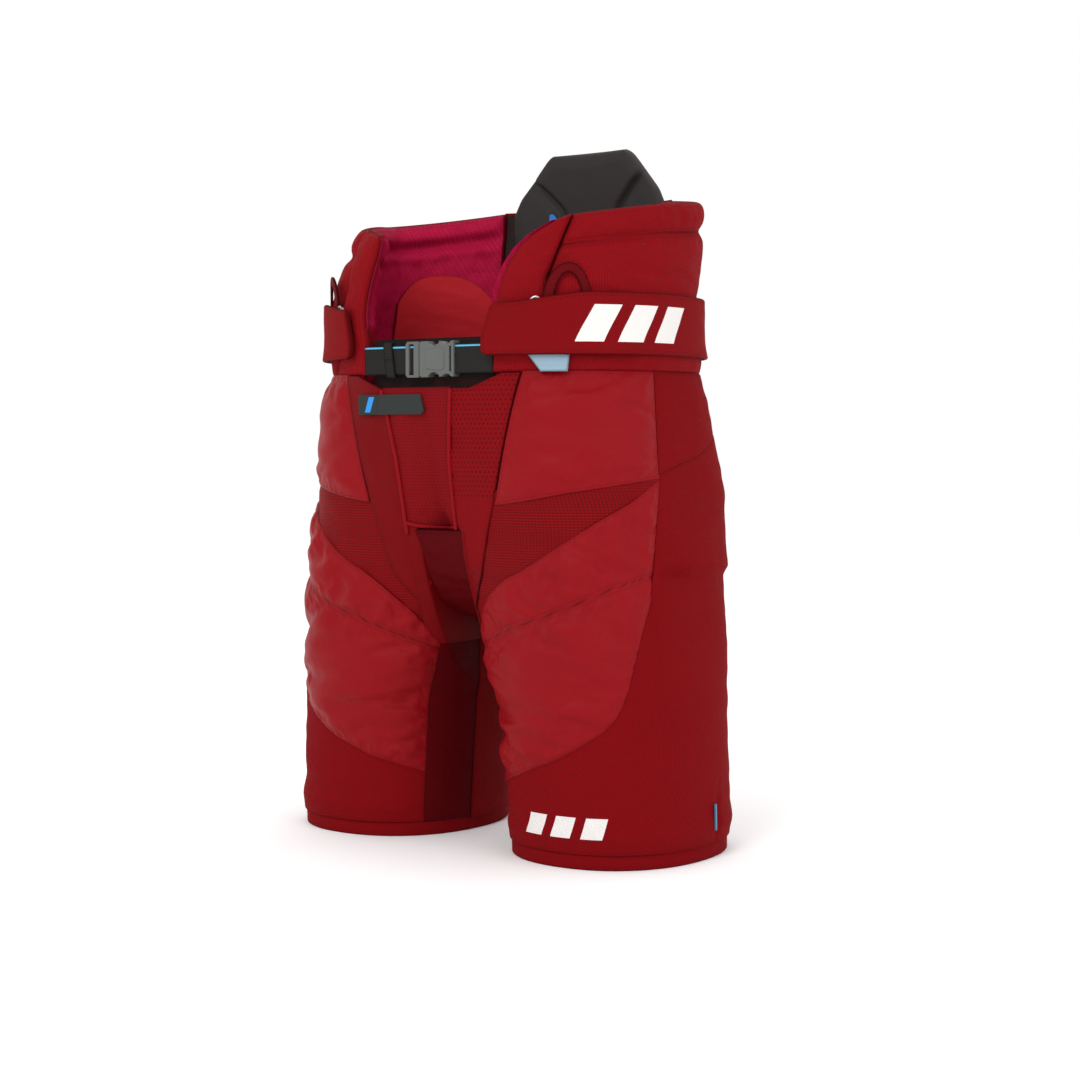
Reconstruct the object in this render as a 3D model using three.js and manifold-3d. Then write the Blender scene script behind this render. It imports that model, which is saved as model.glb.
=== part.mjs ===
// Ice hockey pants: padded shell, belt with side-release buckle, wrap bands, spine guard and two legs that swing
// at the hip. Millimetres. +Z is up, the front faces -Y, the wearer's left is +X, the hems rest on Z = 0.
import * as THREE from "three";
import { mergeVertices } from "three/addons/utils/BufferGeometryUtils.js";
import Module from "manifold-3d";

const wasm = await Module();
wasm.setup();

// ---- driving sizes ----
const HEIGHT = 564; // hem to the top edge at the middle of the back
const HALF_WIDTH = 166; // waist, centre to side
const HALF_DEPTH = 122; // waist, centre to front or back
const WEBBING = 25; // belt width
const BAND_HEIGHT = 51; // wrap band
const SHELL = 3; // thickness of a plain fabric panel with its backing
const PAD = 9; // thickness of a padded panel
const WING = 12; // thickness of the wings and kidney pads
const PLATE = 2.2; // stiff plastic plates
const SEAM = 0.4; // space left between sewn neighbours
const LAYER = 1.2; // space between a curved piece and the one it lies on

// Shapes are drawn at the sizes above, and stretch with them.
const tall = HEIGHT / 564;
const wide = HALF_WIDTH / 166;
const deep = HALF_DEPTH / 122;

// ---- the body surface ----
// One half of the pants is a stack of rounded sections: height, centre x, centre y, half width, half depth, squareness.
// Below the crotch a section is a whole leg. Above it, the centre plane cuts it.
const SECTIONS = [
  [0, 119, 0, 88, 98, 2.2],
  [20, 119, 0, 88, 98, 2.2],
  [125, 114, 1, 90, 100, 2.2],
  [208, 94, 6, 98, 112, 2.3],
  [300, 72, 12, 112, 122, 2.5],
  [353, 50, 10, 125, 124, 2.4],
  [395, 25, 6, 145, 124, 2.35],
  [430, 0, 2, 166, 122, 2.3],
  [480, 0, 2, 166, 122, 2.3],
  [549, 0, 5, 172, 127, 2.3],
  [620, 0, 5, 174, 128, 2.3],
].map(([z, cx, cy, a, b, n]) => [z * tall, cx * wide, cy * deep, a * wide, b * deep, n]);

const rad = THREE.MathUtils.degToRad;
const lerp = THREE.MathUtils.lerp;

// A value read off a table of [key, value] rows with straight runs between them.
function along(rows, key) {
  if (key <= rows[0][0]) return rows[0][1];
  for (let i = 1; i < rows.length; i++) {
    const [k0, v0] = rows[i - 1];
    const [k1, v1] = rows[i];
    if (key <= k1) return lerp(v0, v1, (key - k0) / (k1 - k0));
  }
  return rows[rows.length - 1][1];
}

function section(z) {
  const [cx, cy, a, b, n] = [1, 2, 3, 4, 5].map((column) =>
    along(SECTIONS.map((row) => [row[0], row[column]]), z));
  return { cx, cy, a, b, n };
}

const signedPower = (value, power) => Math.sign(value) * Math.abs(value) ** power;

// A point of the left half. turn is in degrees: -90 front, 0 outer side, 90 rear, 180 inner side.
function skin(z, turn, depth = 0) {
  const s = section(z);
  const x = s.cx + (s.a - depth) * signedPower(Math.cos(rad(turn)), 2 / s.n);
  const y = s.cy + (s.b - depth) * signedPower(Math.sin(rad(turn)), 2 / s.n);
  return new THREE.Vector3(x, y, z);
}

// The turn at which the surface crosses x: facing is -1 at the front, 1 at the rear.
function turnAt(x, z, facing) {
  const s = section(z);
  const cosine = signedPower(THREE.MathUtils.clamp((x - s.cx) / s.a, -1, 1), s.n / 2);
  return facing * THREE.MathUtils.radToDeg(Math.acos(cosine));
}

// The same surface by x, for pieces that cross the centre plane.
function across(x, z, facing, depth = 0) {
  const s = section(z);
  const share = Math.min(Math.abs(Math.abs(x) - s.cx) / (s.a - depth), 1);
  const y = s.cy + facing * (s.b - depth) * (1 - share ** s.n) ** (1 / s.n);
  return new THREE.Vector3(x, y, z);
}

// ---- levels and seam lines ----
const SHELL_TOP = 404 * tall;
const HEM_TOP = 18 * tall;
const CROTCH = 188 * tall;
const FRONT_FOLD = 232 * tall; // where the front panels end above the legs
const SEAT_FOLD = 237 * tall; // where the seat ends above the legs
const INNER_GAP = 22.5 * wide; // each leg's inner wall from the centre plane
const BELT_MIDDLE = 416 * tall;
const BAND_MIDDLE = 443 * tall;
const WING_FRONT = 68 * wide; // where the wings stop beside the belt

const stretched = (rows, by) => rows.map(([key, value]) => [key, value * by]);
const byHeight = (rows, by) => rows.map(([key, value]) => [key * tall, value * by]);

// By turn: the lower edge of the waist part, and the upper edge of the leg.
const WAIST_EDGE = stretched([[-180, 189], [-140, 201], [-122, 226], [-109, 232], [-92, 295], [-60, 306],
  [-15, 317], [0, 290], [25, 243], [60, 237], [135, 237], [152, 200], [180, 189]], tall);
const LEG_EDGE = stretched([[-180, 150], [-150, 150], [-128, 180], [-106, 212], [-70, 252], [-47, 272],
  [-30, 282], [-20, 284], [0, 262], [20, 234], [60, 228], [112, 228], [130, 200], [150, 150], [180, 150]], tall);
// By turn: the lower edge of the thigh pad, the rear yoke seam, the top edge of the wings and kidney pads.
const PAD_EDGE = stretched([[-145, 56], [-110, 72], [-90, 85], [-70, 105], [-49, 127]], tall);
const YOKE_SEAM = stretched([[-15, 319], [30, 352], [90, 362]], tall);
const TOP_EDGE = stretched([[-70, 514], [-60, 518], [-43, 530], [0, 545], [60, 562], [90, 564]], tall);
// By height: the seam beside the fly panels (x), the half width of the fly (x), the side seam (turn).
const FRONT_SEAM = byHeight([[225, 54], [295, 69], [352, 82], [405, 95]], wide);
const FLY_HALF = byHeight([[215, 22.5], [275, 26], [390, 36]], wide);
const SIDE_SEAM = byHeight([[105, -62], [127, -49], [215, -26], [317, -15], [400, -10]], 1);

const waistEdge = (turn) => along(WAIST_EDGE, turn);
const legEdge = (turn) => along(LEG_EDGE, turn);
const topEdge = (turn) => along(TOP_EDGE, turn);
const sideSeam = (z) => along(SIDE_SEAM, z);
const frontSeam = (z) => turnAt(along(FRONT_SEAM, z), z, -1);
const flyHalf = (z) => along(FLY_HALF, z);

// ---- solids ----
const group = new THREE.Group();

function add(name, geometry, material) {
  const mesh = new THREE.Mesh(geometry, material.clone());
  mesh.name = name;
  group.add(mesh);
}

function mirrored(geometry) {
  const copy = geometry.clone();
  const index = copy.index;
  copy.applyMatrix4(new THREE.Matrix4().makeScale(-1, 1, 1));
  for (let i = 0; i < index.count; i += 3) {
    const first = index.getX(i);
    index.setX(i, index.getX(i + 1));
    index.setX(i + 1, first);
  }
  return copy;
}

function addPair(name, geometry, material) {
  add(name + "_left", geometry, material);
  add(name + "_right", mirrored(geometry), material);
}

// A closed slab between two sheets of points. outside(i, j) and inside(i, j) give a point for column i and row j.
// Columns run so that outside faces out. With ring, the last column joins the first.
function slab(columns, rows, outside, inside, ring = false) {
  const positions = [];
  const faces = [];
  const high = rows + 1;
  const sheet = (columns + (ring ? 0 : 1)) * high;
  for (const point of [outside, inside]) {
    for (let i = 0; i < sheet / high; i++) {
      for (let j = 0; j < high; j++) positions.push(...point(i, j).toArray());
    }
  }
  const at = (i, j, layer) => layer * sheet + (ring ? i % columns : i) * high + j;
  const quad = (a, b, c, d) => faces.push(a, b, c, a, c, d);
  for (let i = 0; i < columns; i++) {
    for (let j = 0; j < rows; j++) {
      quad(at(i, j, 0), at(i + 1, j, 0), at(i + 1, j + 1, 0), at(i, j + 1, 0));
      quad(at(i, j, 1), at(i, j + 1, 1), at(i + 1, j + 1, 1), at(i + 1, j, 1));
    }
    quad(at(i, 0, 1), at(i + 1, 0, 1), at(i + 1, 0, 0), at(i, 0, 0));
    quad(at(i, rows, 0), at(i + 1, rows, 0), at(i + 1, rows, 1), at(i, rows, 1));
  }
  if (!ring) {
    for (let j = 0; j < rows; j++) {
      quad(at(0, j, 1), at(0, j, 0), at(0, j + 1, 0), at(0, j + 1, 1));
      quad(at(columns, j, 0), at(columns, j, 1), at(columns, j + 1, 1), at(columns, j + 1, 0));
    }
  }
  const geometry = new THREE.BufferGeometry();
  geometry.setAttribute("position", new THREE.Float32BufferAttribute(positions, 3));
  geometry.setIndex(faces);
  geometry.computeVertexNormals();
  return geometry;
}

const valueAt = (value, key) => (typeof value === "function" ? value(key) : value);
const STEP = 11; // widest column of a curved panel, in degrees of turn

// A curved panel of the left half. from and to are turns (or functions of height), bottom and top are heights
// (or functions of turn), and outer and inner are depths (inner may be a function of the share of the height).
// cuts are turns where an edge has a corner. limit keeps x clear of the centre plane.
function panel({ from, to, bottom, top, outer, inner, rows = 3, cuts = [], limit = -Infinity }) {
  const middle = (valueAt(bottom, 0) + valueAt(top, 0)) / 2;
  const first = valueAt(from, middle);
  const last = valueAt(to, middle);
  const count = Math.max(2, Math.ceil((last - first) / STEP));
  const turns = Array.from({ length: count + 1 }, (_, i) => lerp(first, last, i / count));
  for (const cut of cuts) {
    const near = turns.reduce((best, turn, i) => (Math.abs(turn - cut) < Math.abs(turns[best] - cut) ? i : best), 0);
    if (near > 0 && near < count) turns[near] = cut;
  }
  const shares = turns.map((turn) => (turn - first) / (last - first));
  const settle = (edge, share) => {
    let z = valueAt(edge, lerp(first, last, share));
    for (let pass = 0; pass < 6; pass++) {
      z = valueAt(edge, lerp(valueAt(from, z), valueAt(to, z), share));
    }
    return z;
  };
  const lows = shares.map((share) => settle(bottom, share));
  const highs = shares.map((share) => settle(top, share));
  const point = (depth, margin) => (i, j) => {
    const z = lerp(lows[i], highs[i], j / rows);
    const turn = lerp(valueAt(from, z), valueAt(to, z), shares[i]);
    const p = skin(z, turn, valueAt(depth, j / rows));
    p.x = Math.max(p.x, limit + margin);
    return p;
  };
  return slab(count, rows, point(outer, 0), point(inner, 1.6));
}

// A panel across the centre plane. half(z) is its half width.
function centrePanel({ half, bottom, top, outer, inner, facing, columns = 8, rows = 4 }) {
  const point = (depth) => (i, j) => {
    const z = lerp(bottom, top, j / rows);
    const x = lerp(-half(z), half(z), i / columns) * -facing;
    return across(x, z, facing, valueAt(depth, j / rows));
  };
  return slab(columns, rows, point(outer), point(inner));
}

function box(low, high) {
  const size = high.map((v, i) => v - low[i]);
  return new THREE.BoxGeometry(...size).translate(...high.map((v, i) => (v + low[i]) / 2));
}

function toManifold(geometry) {
  const bare = geometry.clone();
  bare.deleteAttribute("normal");
  bare.deleteAttribute("uv");
  const merged = mergeVertices(bare);
  return new wasm.Manifold(new wasm.Mesh({
    numProp: 3,
    vertProperties: new Float32Array(merged.attributes.position.array),
    triVerts: new Uint32Array(merged.index.array),
  }));
}

function fromManifold(solid) {
  const mesh = solid.getMesh();
  const geometry = new THREE.BufferGeometry();
  geometry.setAttribute("position", new THREE.BufferAttribute(mesh.vertProperties, 3));
  geometry.setIndex(new THREE.BufferAttribute(mesh.triVerts, 1));
  geometry.computeVertexNormals();
  return geometry;
}

const carve = (body, ...holes) =>
  fromManifold(holes.reduce((solid, hole) => solid.subtract(toManifold(hole)), toManifold(body)));
const join = (...solids) =>
  fromManifold(solids.map(toManifold).reduce((sum, solid) => sum.add(solid)));

// ---- materials ----
const paint = (color, roughness) => new THREE.MeshStandardMaterial({ color, roughness });
const NYLON = paint(0x93202a, 0.55);
const KNIT = paint(0x7e1019, 0.85);
const FOAM = paint(0x2c2829, 0.6);
const LINING = paint(0x811934, 0.8);
const MESH = paint(0x6d0f14, 0.8);
const BLACK_WEB = paint(0x3a3935, 0.8);
const GREY_PLASTIC = paint(0x737672, 0.4);
const WHITE_PLASTIC = paint(0xe8e8e4, 0.5);
const TAB_GREY = paint(0x3e4240, 0.7);
const TAG_BLUE = paint(0x9fb4c4, 0.7);
const METAL = paint(0xb8b8b4, 0.3);

// ---- waist: shell panels ----
const FLY_TOP = SHELL_TOP - 12;
const FLY_FOOT = 275 * tall;
const FRONT_DIP = [-86, -66]; // turns between which the top edge rises from the fly to the side
addPair("front_panel", panel({
  from: (z) => turnAt(flyHalf(z) + SEAM, z, -1),
  to: (z) => frontSeam(z) - SEAM,
  bottom: FRONT_FOLD,
  top: (turn) => Math.min(SHELL_TOP, lerp(FLY_TOP, SHELL_TOP, (turn - FRONT_DIP[0]) / (FRONT_DIP[1] - FRONT_DIP[0]))),
  outer: 0,
  inner: SHELL,
  rows: 6,
}), KNIT);

addPair("hip_panel", panel({
  from: frontSeam,
  to: (z) => sideSeam(z) - SEAM / deep,
  bottom: (turn) => waistEdge(turn) + SEAM,
  top: SHELL_TOP,
  outer: 0,
  inner: (share) => lerp(SHELL, PAD, Math.min(1, share * 2)),
  rows: 4,
}), NYLON);

const rearCentre = (z) => turnAt(SEAM / 2, z, 1);
addPair("seat_panel", panel({
  from: sideSeam,
  to: rearCentre,
  bottom: (turn) => Math.max(waistEdge(turn), SEAT_FOLD) + SEAM,
  top: (turn) => along(YOKE_SEAM, turn),
  outer: 0,
  inner: SHELL,
  rows: 4,
  cuts: [0, 25],
}), KNIT);

addPair("yoke_panel", panel({
  from: sideSeam,
  to: rearCentre,
  bottom: (turn) => along(YOKE_SEAM, turn) + SEAM,
  top: SHELL_TOP,
  outer: 0,
  inner: SHELL,
}), KNIT);

add("fly_panel", centrePanel({
  half: (z) => flyHalf(z) - SEAM,
  bottom: FLY_FOOT,
  top: FLY_TOP,
  outer: 0,
  inner: SHELL,
  facing: -1,
  columns: 6,
}), KNIT);

// The gusset runs from the foot of the fly, under the crotch, to the seat seam.
const GUSSET_TOP = FLY_FOOT - 4 * SEAM;
const GUSSET_PATH = [[-98, GUSSET_TOP], [-92, 250 * tall], [-83, 226 * tall], [-68, 206 * tall], [-42, 193 * tall],
  [-8, CROTCH], [30, 189 * tall], [58, 198 * tall], [72, 214 * tall], [75, 235.5 * tall]].map(([y, z]) => [y * deep, z]);
function gusset() {
  const columns = 4;
  const rows = GUSSET_PATH.length - 1;
  const half = INNER_GAP - SEAM;
  const heart = new THREE.Vector2(0, 300 * tall);
  const point = (depth) => (i, j) => {
    const edge = new THREE.Vector2(...GUSSET_PATH[rows - j]);
    const towards = heart.clone().sub(edge).normalize().multiplyScalar(depth);
    return new THREE.Vector3(lerp(-half, half, i / columns), edge.x + towards.x, edge.y + towards.y);
  };
  return slab(columns, rows, point(0), point(SHELL));
}
add("crotch_gusset", gusset(), NYLON);

// ---- waist: wings, kidney pads, back ----
const WING_SPLIT = -43; // turn of the groove between wing and kidney pad
const BACK_HALF = 94 * wide;
const wingRim = (z) => turnAt(along(byHeight([[460, 68], [516, 91]], wide), z, -1), z, -1);
const backSeam = (z) => turnAt(BACK_HALF, z, 1);

addPair("wing", panel({
  from: wingRim,
  to: WING_SPLIT - SEAM / 3,
  bottom: SHELL_TOP + SEAM,
  top: topEdge,
  outer: 0,
  inner: WING,
  rows: 5,
}), KNIT);

addPair("kidney_pad", panel({
  from: WING_SPLIT,
  to: (z) => backSeam(z) - SEAM / 3,
  bottom: SHELL_TOP + SEAM,
  top: topEdge,
  outer: 0,
  inner: WING,
  rows: 4,
}), NYLON);

add("back_panel", centrePanel({
  half: () => BACK_HALF - SHELL,
  bottom: SHELL_TOP + SEAM,
  top: HEIGHT,
  outer: 0,
  inner: SHELL,
  facing: 1,
}), MESH);

const LINING_THICK = 1.6;
addPair("lining", panel({
  from: (z) => wingRim(z) + 1,
  to: (z) => backSeam(z) - 1.5,
  bottom: SHELL_TOP + 28,
  top: (turn) => topEdge(turn) - 4,
  outer: WING + LAYER,
  inner: WING + LAYER + LINING_THICK,
  rows: 3,
}), LINING);

// A patch inside the right kidney pad, with an arched top.
const PATCH_DEPTH = WING + 2 * LAYER + LINING_THICK;
const PATCH_THICK = 1.1;
add("inner_patch_right", mirrored(panel({
  from: 8,
  to: 51,
  bottom: 439 * tall,
  top: (turn) => (500 - ((turn - 30) / 22) ** 2 * 14) * tall,
  outer: PATCH_DEPTH,
  inner: PATCH_DEPTH + PATCH_THICK,
})), NYLON);

addPair("hip_plate", panel({
  from: -58,
  to: 12,
  bottom: 332 * tall,
  top: 396 * tall,
  outer: PAD + LAYER,
  inner: PAD + LAYER + PLATE,
}), WHITE_PLASTIC);

add("tailbone_pad", centrePanel({
  half: () => 42 * wide,
  bottom: 318 * tall,
  top: 452 * tall,
  outer: SHELL + LAYER,
  inner: SHELL + LAYER + PAD,
  facing: 1,
}), FOAM);

// ---- spine guard, hinged at its lower edge ----
const GUARD_BOTTOM = 470 * tall;
const GUARD_TOP = 616 * tall;
const GUARD_HALF = byHeight([[470, 58], [500, 80], [560, 84], [578, 76], [596, 60], [608, 48], [616, 33]], wide);
const GUARD_DEPTH = SHELL + LAYER * deep;
const GUARD_THICK = [11, 14]; // at its ends and at its middle
add("spine_guard", centrePanel({
  half: (z) => along(GUARD_HALF, z),
  bottom: GUARD_BOTTOM,
  top: GUARD_TOP,
  outer: GUARD_DEPTH,
  inner: (share) => GUARD_DEPTH + lerp(...GUARD_THICK, Math.sin(share * Math.PI)),
  facing: 1,
  rows: 10,
}), FOAM);

// ---- wrap bands, hinged at the back ----
const BAND_THICK = 5;
const BAND_FRONT = -67;
const BAND_REAR = 57;
// The band lies close at the back and stands off the body towards its free end.
const BAND_GAP = [1.5 * LAYER, 5.5];
const BAND_CLOSE = -60; // these two are turns counted towards the front
const BAND_FREE = -15;
const bandGap = (turn) => lerp(...BAND_GAP, THREE.MathUtils.smoothstep(-turn, BAND_CLOSE, BAND_FREE));
function band() {
  const columns = 14;
  const rows = 2;
  const point = (thick) => (i, j) => {
    const turn = lerp(BAND_FRONT, BAND_REAR, i / columns);
    const low = BAND_MIDDLE - BAND_HEIGHT / 2;
    const taper = (BAND_HEIGHT / 5) * THREE.MathUtils.smoothstep(-turn, 35, -BAND_FRONT);
    return skin(lerp(low, low + BAND_HEIGHT - taper, j / rows), turn, -bandGap(turn) - thick);
  };
  return slab(columns, rows, point(BAND_THICK), point(0));
}
addPair("wrap_band", band(), KNIT);

// ---- suspender buttons, hang loops, tag ----
const BUTTON_RADIUS = 5.3;
const BUTTON_TALL = 3.2;
const BUTTON_HEIGHT = 460 * tall;
const OFF_CLOTH = 0.5; // space under a piece sewn or pressed onto the cloth
function onSkin(geometry, z, turn, lift) {
  const p = skin(z, turn);
  const ahead = skin(z, turn + 1).sub(skin(z, turn - 1)).normalize();
  const out = new THREE.Vector3(ahead.y, -ahead.x, 0);
  const place = new THREE.Matrix4().makeBasis(ahead, out, ahead.clone().cross(out));
  place.setPosition(p.addScaledVector(out, lift));
  return geometry.applyMatrix4(place);
}

const LOOP_WIDTH = 8;
const LOOP_THICK = 2.4;
const LOOP_HALF_SPAN = 15;
const LOOP_RISE = 32;
const LOOP_TURN = -43.5;
const LOOP_FOOT = 458 * tall;
const perDegree = skin(LOOP_FOOT, LOOP_TURN + 1).distanceTo(skin(LOOP_FOOT, LOOP_TURN));
function hangLoop() {
  const columns = 8;
  const rows = 1;
  const point = (lift) => (i, j) => {
    const angle = lerp(Math.PI, 0, i / columns);
    const out = lerp(-LOOP_WIDTH / 2, LOOP_WIDTH / 2, j / rows);
    const sideways = (LOOP_HALF_SPAN + out) * Math.cos(angle);
    const z = LOOP_FOOT + (LOOP_RISE + out) * Math.sin(angle);
    return skin(z, LOOP_TURN + sideways / perDegree, -lift);
  };
  return slab(columns, rows, point(OFF_CLOTH + LOOP_THICK), point(OFF_CLOTH));
}
addPair("hang_loop", hangLoop(), BLACK_WEB);

// The buttons stand just outside the feet of the loop.
const BUTTON_FROM_LOOP = { front_button: -24, side_button: 26.3 }; // along the surface
for (const [name, sideways] of Object.entries(BUTTON_FROM_LOOP)) {
  const button = new THREE.CylinderGeometry(BUTTON_RADIUS, BUTTON_RADIUS, BUTTON_TALL, 14);
  const lift = OFF_CLOTH + BUTTON_TALL / 2;
  addPair(name, onSkin(mergeVertices(button), BUTTON_HEIGHT, LOOP_TURN + sideways / perDegree, lift), METAL);
}
// A small sewn tag that narrows downwards.
const TAG_THICK = 1.3;
const TAG_TOP = 416 * tall;
const tagSlope = (z) => (TAG_TOP - z) / 8;
add("fit_tag_left", panel({
  from: (z) => -57 + tagSlope(z),
  to: (z) => -47 - tagSlope(z),
  bottom: SHELL_TOP + 1,
  top: TAG_TOP,
  outer: -OFF_CLOTH - TAG_THICK,
  inner: -OFF_CLOTH,
  rows: 1,
}), TAG_BLUE);

// ---- belt and buckle ----
const STRAP_Y = -112.2 * deep; // middle of the strap
const STRAP_THICK = 1.5;
const CATCH_Y = STRAP_Y + 3; // middle of the prongs, behind the strap
const CATCH_THICK = 3;
const BUCKLE_TALL = WEBBING + 5;
const SOCKET_LEFT = -7;
const SOCKET_RIGHT = 30;
const LOCK_LEFT = -22;
const LOCK_RIGHT = -8;
const FRONT_Y = STRAP_Y - 2.8;
const REAR_Y = CATCH_Y + 3.2;
const RELIEF = 0.45;
const beltZ = (offset) => BELT_MIDDLE + offset;
const strap = (left, right) => box(
  [left, STRAP_Y - STRAP_THICK / 2, beltZ(-WEBBING / 2)],
  [right, STRAP_Y + STRAP_THICK / 2, beltZ(WEBBING / 2)]);
const strapEnd = WING_FRONT - 1.2;
add("belt_left", strap(SOCKET_RIGHT + SEAM, strapEnd), BLACK_WEB);
add("belt_right", strap(-strapEnd, LOCK_RIGHT - 1), BLACK_WEB);

const cavity = box(
  [SOCKET_LEFT - 1, CATCH_Y - CATCH_THICK / 2 - RELIEF, beltZ(-12)],
  [SOCKET_RIGHT - 7, CATCH_Y + CATCH_THICK / 2 + RELIEF, beltZ(12)]);
const windows = [-1, 1].map((side) => box(
  [3, CATCH_Y - CATCH_THICK / 2 - RELIEF, beltZ(side * 13 - 4)],
  [15, CATCH_Y + CATCH_THICK / 2 + RELIEF, beltZ(side * 13 + 4)]));
add("buckle_socket", carve(
  box([SOCKET_LEFT, FRONT_Y, beltZ(-BUCKLE_TALL / 2)], [SOCKET_RIGHT, REAR_Y, beltZ(BUCKLE_TALL / 2)]),
  cavity, ...windows), GREY_PLASTIC);

const lock = carve(
  box([LOCK_LEFT, FRONT_Y, beltZ(-BUCKLE_TALL / 2)], [LOCK_RIGHT, REAR_Y - 0.4, beltZ(BUCKLE_TALL / 2)]),
  box([LOCK_LEFT - 1, STRAP_Y - STRAP_THICK / 2 - RELIEF, beltZ(-WEBBING / 2 - RELIEF)],
    [LOCK_RIGHT + 1, STRAP_Y + STRAP_THICK / 2 + RELIEF, beltZ(WEBBING / 2 + RELIEF)]),
  box([LOCK_LEFT + 3.5, FRONT_Y - 1, beltZ(-WEBBING / 2 - RELIEF)],
    [LOCK_RIGHT - 5, STRAP_Y, beltZ(WEBBING / 2 + RELIEF)]));
const tongue = box(
  [LOCK_RIGHT - 1, CATCH_Y - CATCH_THICK / 2, beltZ(-3)],
  [10, CATCH_Y + CATCH_THICK / 2, beltZ(3)]);
add("buckle_plug", join(lock, tongue), GREY_PLASTIC);

for (const [name, side] of [["upper", 1], ["lower", -1]]) {
  const low = Math.min(side * 6.5, side * 11);
  const prong = box(
    [LOCK_RIGHT + SEAM, CATCH_Y - CATCH_THICK / 2, beltZ(low)],
    [11, CATCH_Y + CATCH_THICK / 2, beltZ(low + 4.5)]);
  add("buckle_prong_" + name, prong, GREY_PLASTIC);
}

// The keeper is a flat elastic loop round the strap.
const KEEPER = [-46, -36];
const KEEPER_THICK = 1.4;
add("keeper_loop", carve(
  box([KEEPER[0], STRAP_Y - STRAP_THICK / 2 - RELIEF - KEEPER_THICK, beltZ(-WEBBING / 2 - RELIEF - KEEPER_THICK)],
    [KEEPER[1], STRAP_Y + STRAP_THICK / 2 + RELIEF + KEEPER_THICK, beltZ(WEBBING / 2 + RELIEF + KEEPER_THICK)]),
  box([KEEPER[0] - 1, STRAP_Y - STRAP_THICK / 2 - RELIEF, beltZ(-WEBBING / 2 - RELIEF)],
    [KEEPER[1] + 1, STRAP_Y + STRAP_THICK / 2 + RELIEF, beltZ(WEBBING / 2 + RELIEF)])), BLACK_WEB);

const TONGUE_HALF = WING_FRONT - 4.2;
add("front_tongue", box(
  [-TONGUE_HALF, REAR_Y + SEAM, 389 * tall],
  [TONGUE_HALF, REAR_Y + SEAM + 2, 432 * tall]), BLACK_WEB);

// ---- fly tab ----
const TAB_Z = [370 * tall, 387 * tall];
const TAB_THICK = 1.8;
const TAB_FOLD = -50 * wide;
const tabY = across(TAB_FOLD, TAB_Z[1], -1).y - SEAM - 0.2;
add("tab_base", box([-72 * wide, tabY - TAB_THICK, TAB_Z[0]], [TAB_FOLD, tabY, TAB_Z[1]]), TAB_GREY);
add("fly_tab", box([TAB_FOLD + SEAM, tabY - TAB_THICK, TAB_Z[0]], [0, tabY, TAB_Z[1]]), TAB_GREY);

// ---- legs ----
const PAD_FRONT = -143; // turn of the inner front seam
const STRIP_REAR = -172;
const REAR_SEAM = 146;
const padEdge = (turn) => along(PAD_EDGE, turn);
const seamTurn = 1.2; // the space between side by side panels of the leg, as a turn
const THINNING = [0.6, 0.85]; // shares of its height between which the pad thins towards the hip
const padInner = (share) => lerp(PAD, SHELL, THREE.MathUtils.smoothstep(share, ...THINNING));
const sidePadEdge = 127 * tall;

addPair("thigh_pad", panel({
  from: PAD_FRONT,
  to: (z) => sideSeam(Math.max(z, sidePadEdge)) - seamTurn,
  bottom: (turn) => padEdge(turn) + 2 * SEAM,
  top: (turn) => legEdge(turn),
  outer: 0,
  inner: padInner,
  rows: 7,
  limit: INNER_GAP,
}), NYLON);

addPair("thigh_plate", panel({
  from: -128,
  to: -52,
  bottom: (turn) => padEdge(turn) + 14,
  top: (turn) => Math.min(padEdge(turn) + 95, legEdge(turn) - 50),
  outer: PAD + LAYER,
  inner: PAD + LAYER + PLATE,
}), WHITE_PLASTIC);

// Below the pad, from the inner front seam to the side seam.
addPair("lower_panel", panel({
  from: PAD_FRONT,
  to: -49 - seamTurn,
  bottom: HEM_TOP + SEAM,
  top: padEdge,
  outer: 0,
  inner: SHELL,
  rows: 2,
}), KNIT);

addPair("rear_leg_panel", panel({
  from: (z) => sideSeam(Math.max(z, sidePadEdge)),
  to: REAR_SEAM - seamTurn,
  bottom: HEM_TOP + SEAM,
  top: (turn) => legEdge(turn),
  outer: 0,
  inner: SHELL,
  rows: 5,
  cuts: [-20, 0, 20],
  limit: INNER_GAP,
}), KNIT);

const innerEdge = (turn) => legEdge(turn > 180 ? turn - 360 : turn);
addPair("inner_strip", panel({
  from: STRIP_REAR,
  to: PAD_FRONT - seamTurn,
  bottom: HEM_TOP + SEAM,
  top: innerEdge,
  outer: 0,
  inner: SHELL,
  limit: INNER_GAP,
}), NYLON);

addPair("inner_leg_panel", panel({
  from: REAR_SEAM,
  to: STRIP_REAR + 360 - seamTurn,
  bottom: HEM_TOP + SEAM,
  top: innerEdge,
  outer: 0,
  inner: SHELL,
  limit: INNER_GAP,
}), KNIT);

// A closed ring round the leg.
function cuff({ turns, bottom, top, outer, inner, rows, limit = -Infinity }) {
  const point = (depth, margin) => (i, j) => {
    const turn = turns[i];
    const p = skin(lerp(valueAt(bottom, turn), valueAt(top, turn), j / rows), turn, depth);
    p.x = Math.max(p.x, limit + margin);
    return p;
  };
  return slab(turns.length, rows, point(outer, 0), point(inner, 1.6), true);
}
const HEM_SIDES = 32;
const HEM_INSET = 0.8; // how far the hem band lies inside the shell
const evenTurns = Array.from({ length: HEM_SIDES }, (_, i) => -180 + (i * 360) / HEM_SIDES);
addPair("hem_band", cuff({
  turns: evenTurns,
  bottom: 0,
  top: HEM_TOP,
  outer: HEM_INSET,
  inner: HEM_INSET + SHELL,
  rows: 1,
}), NYLON);

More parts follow.
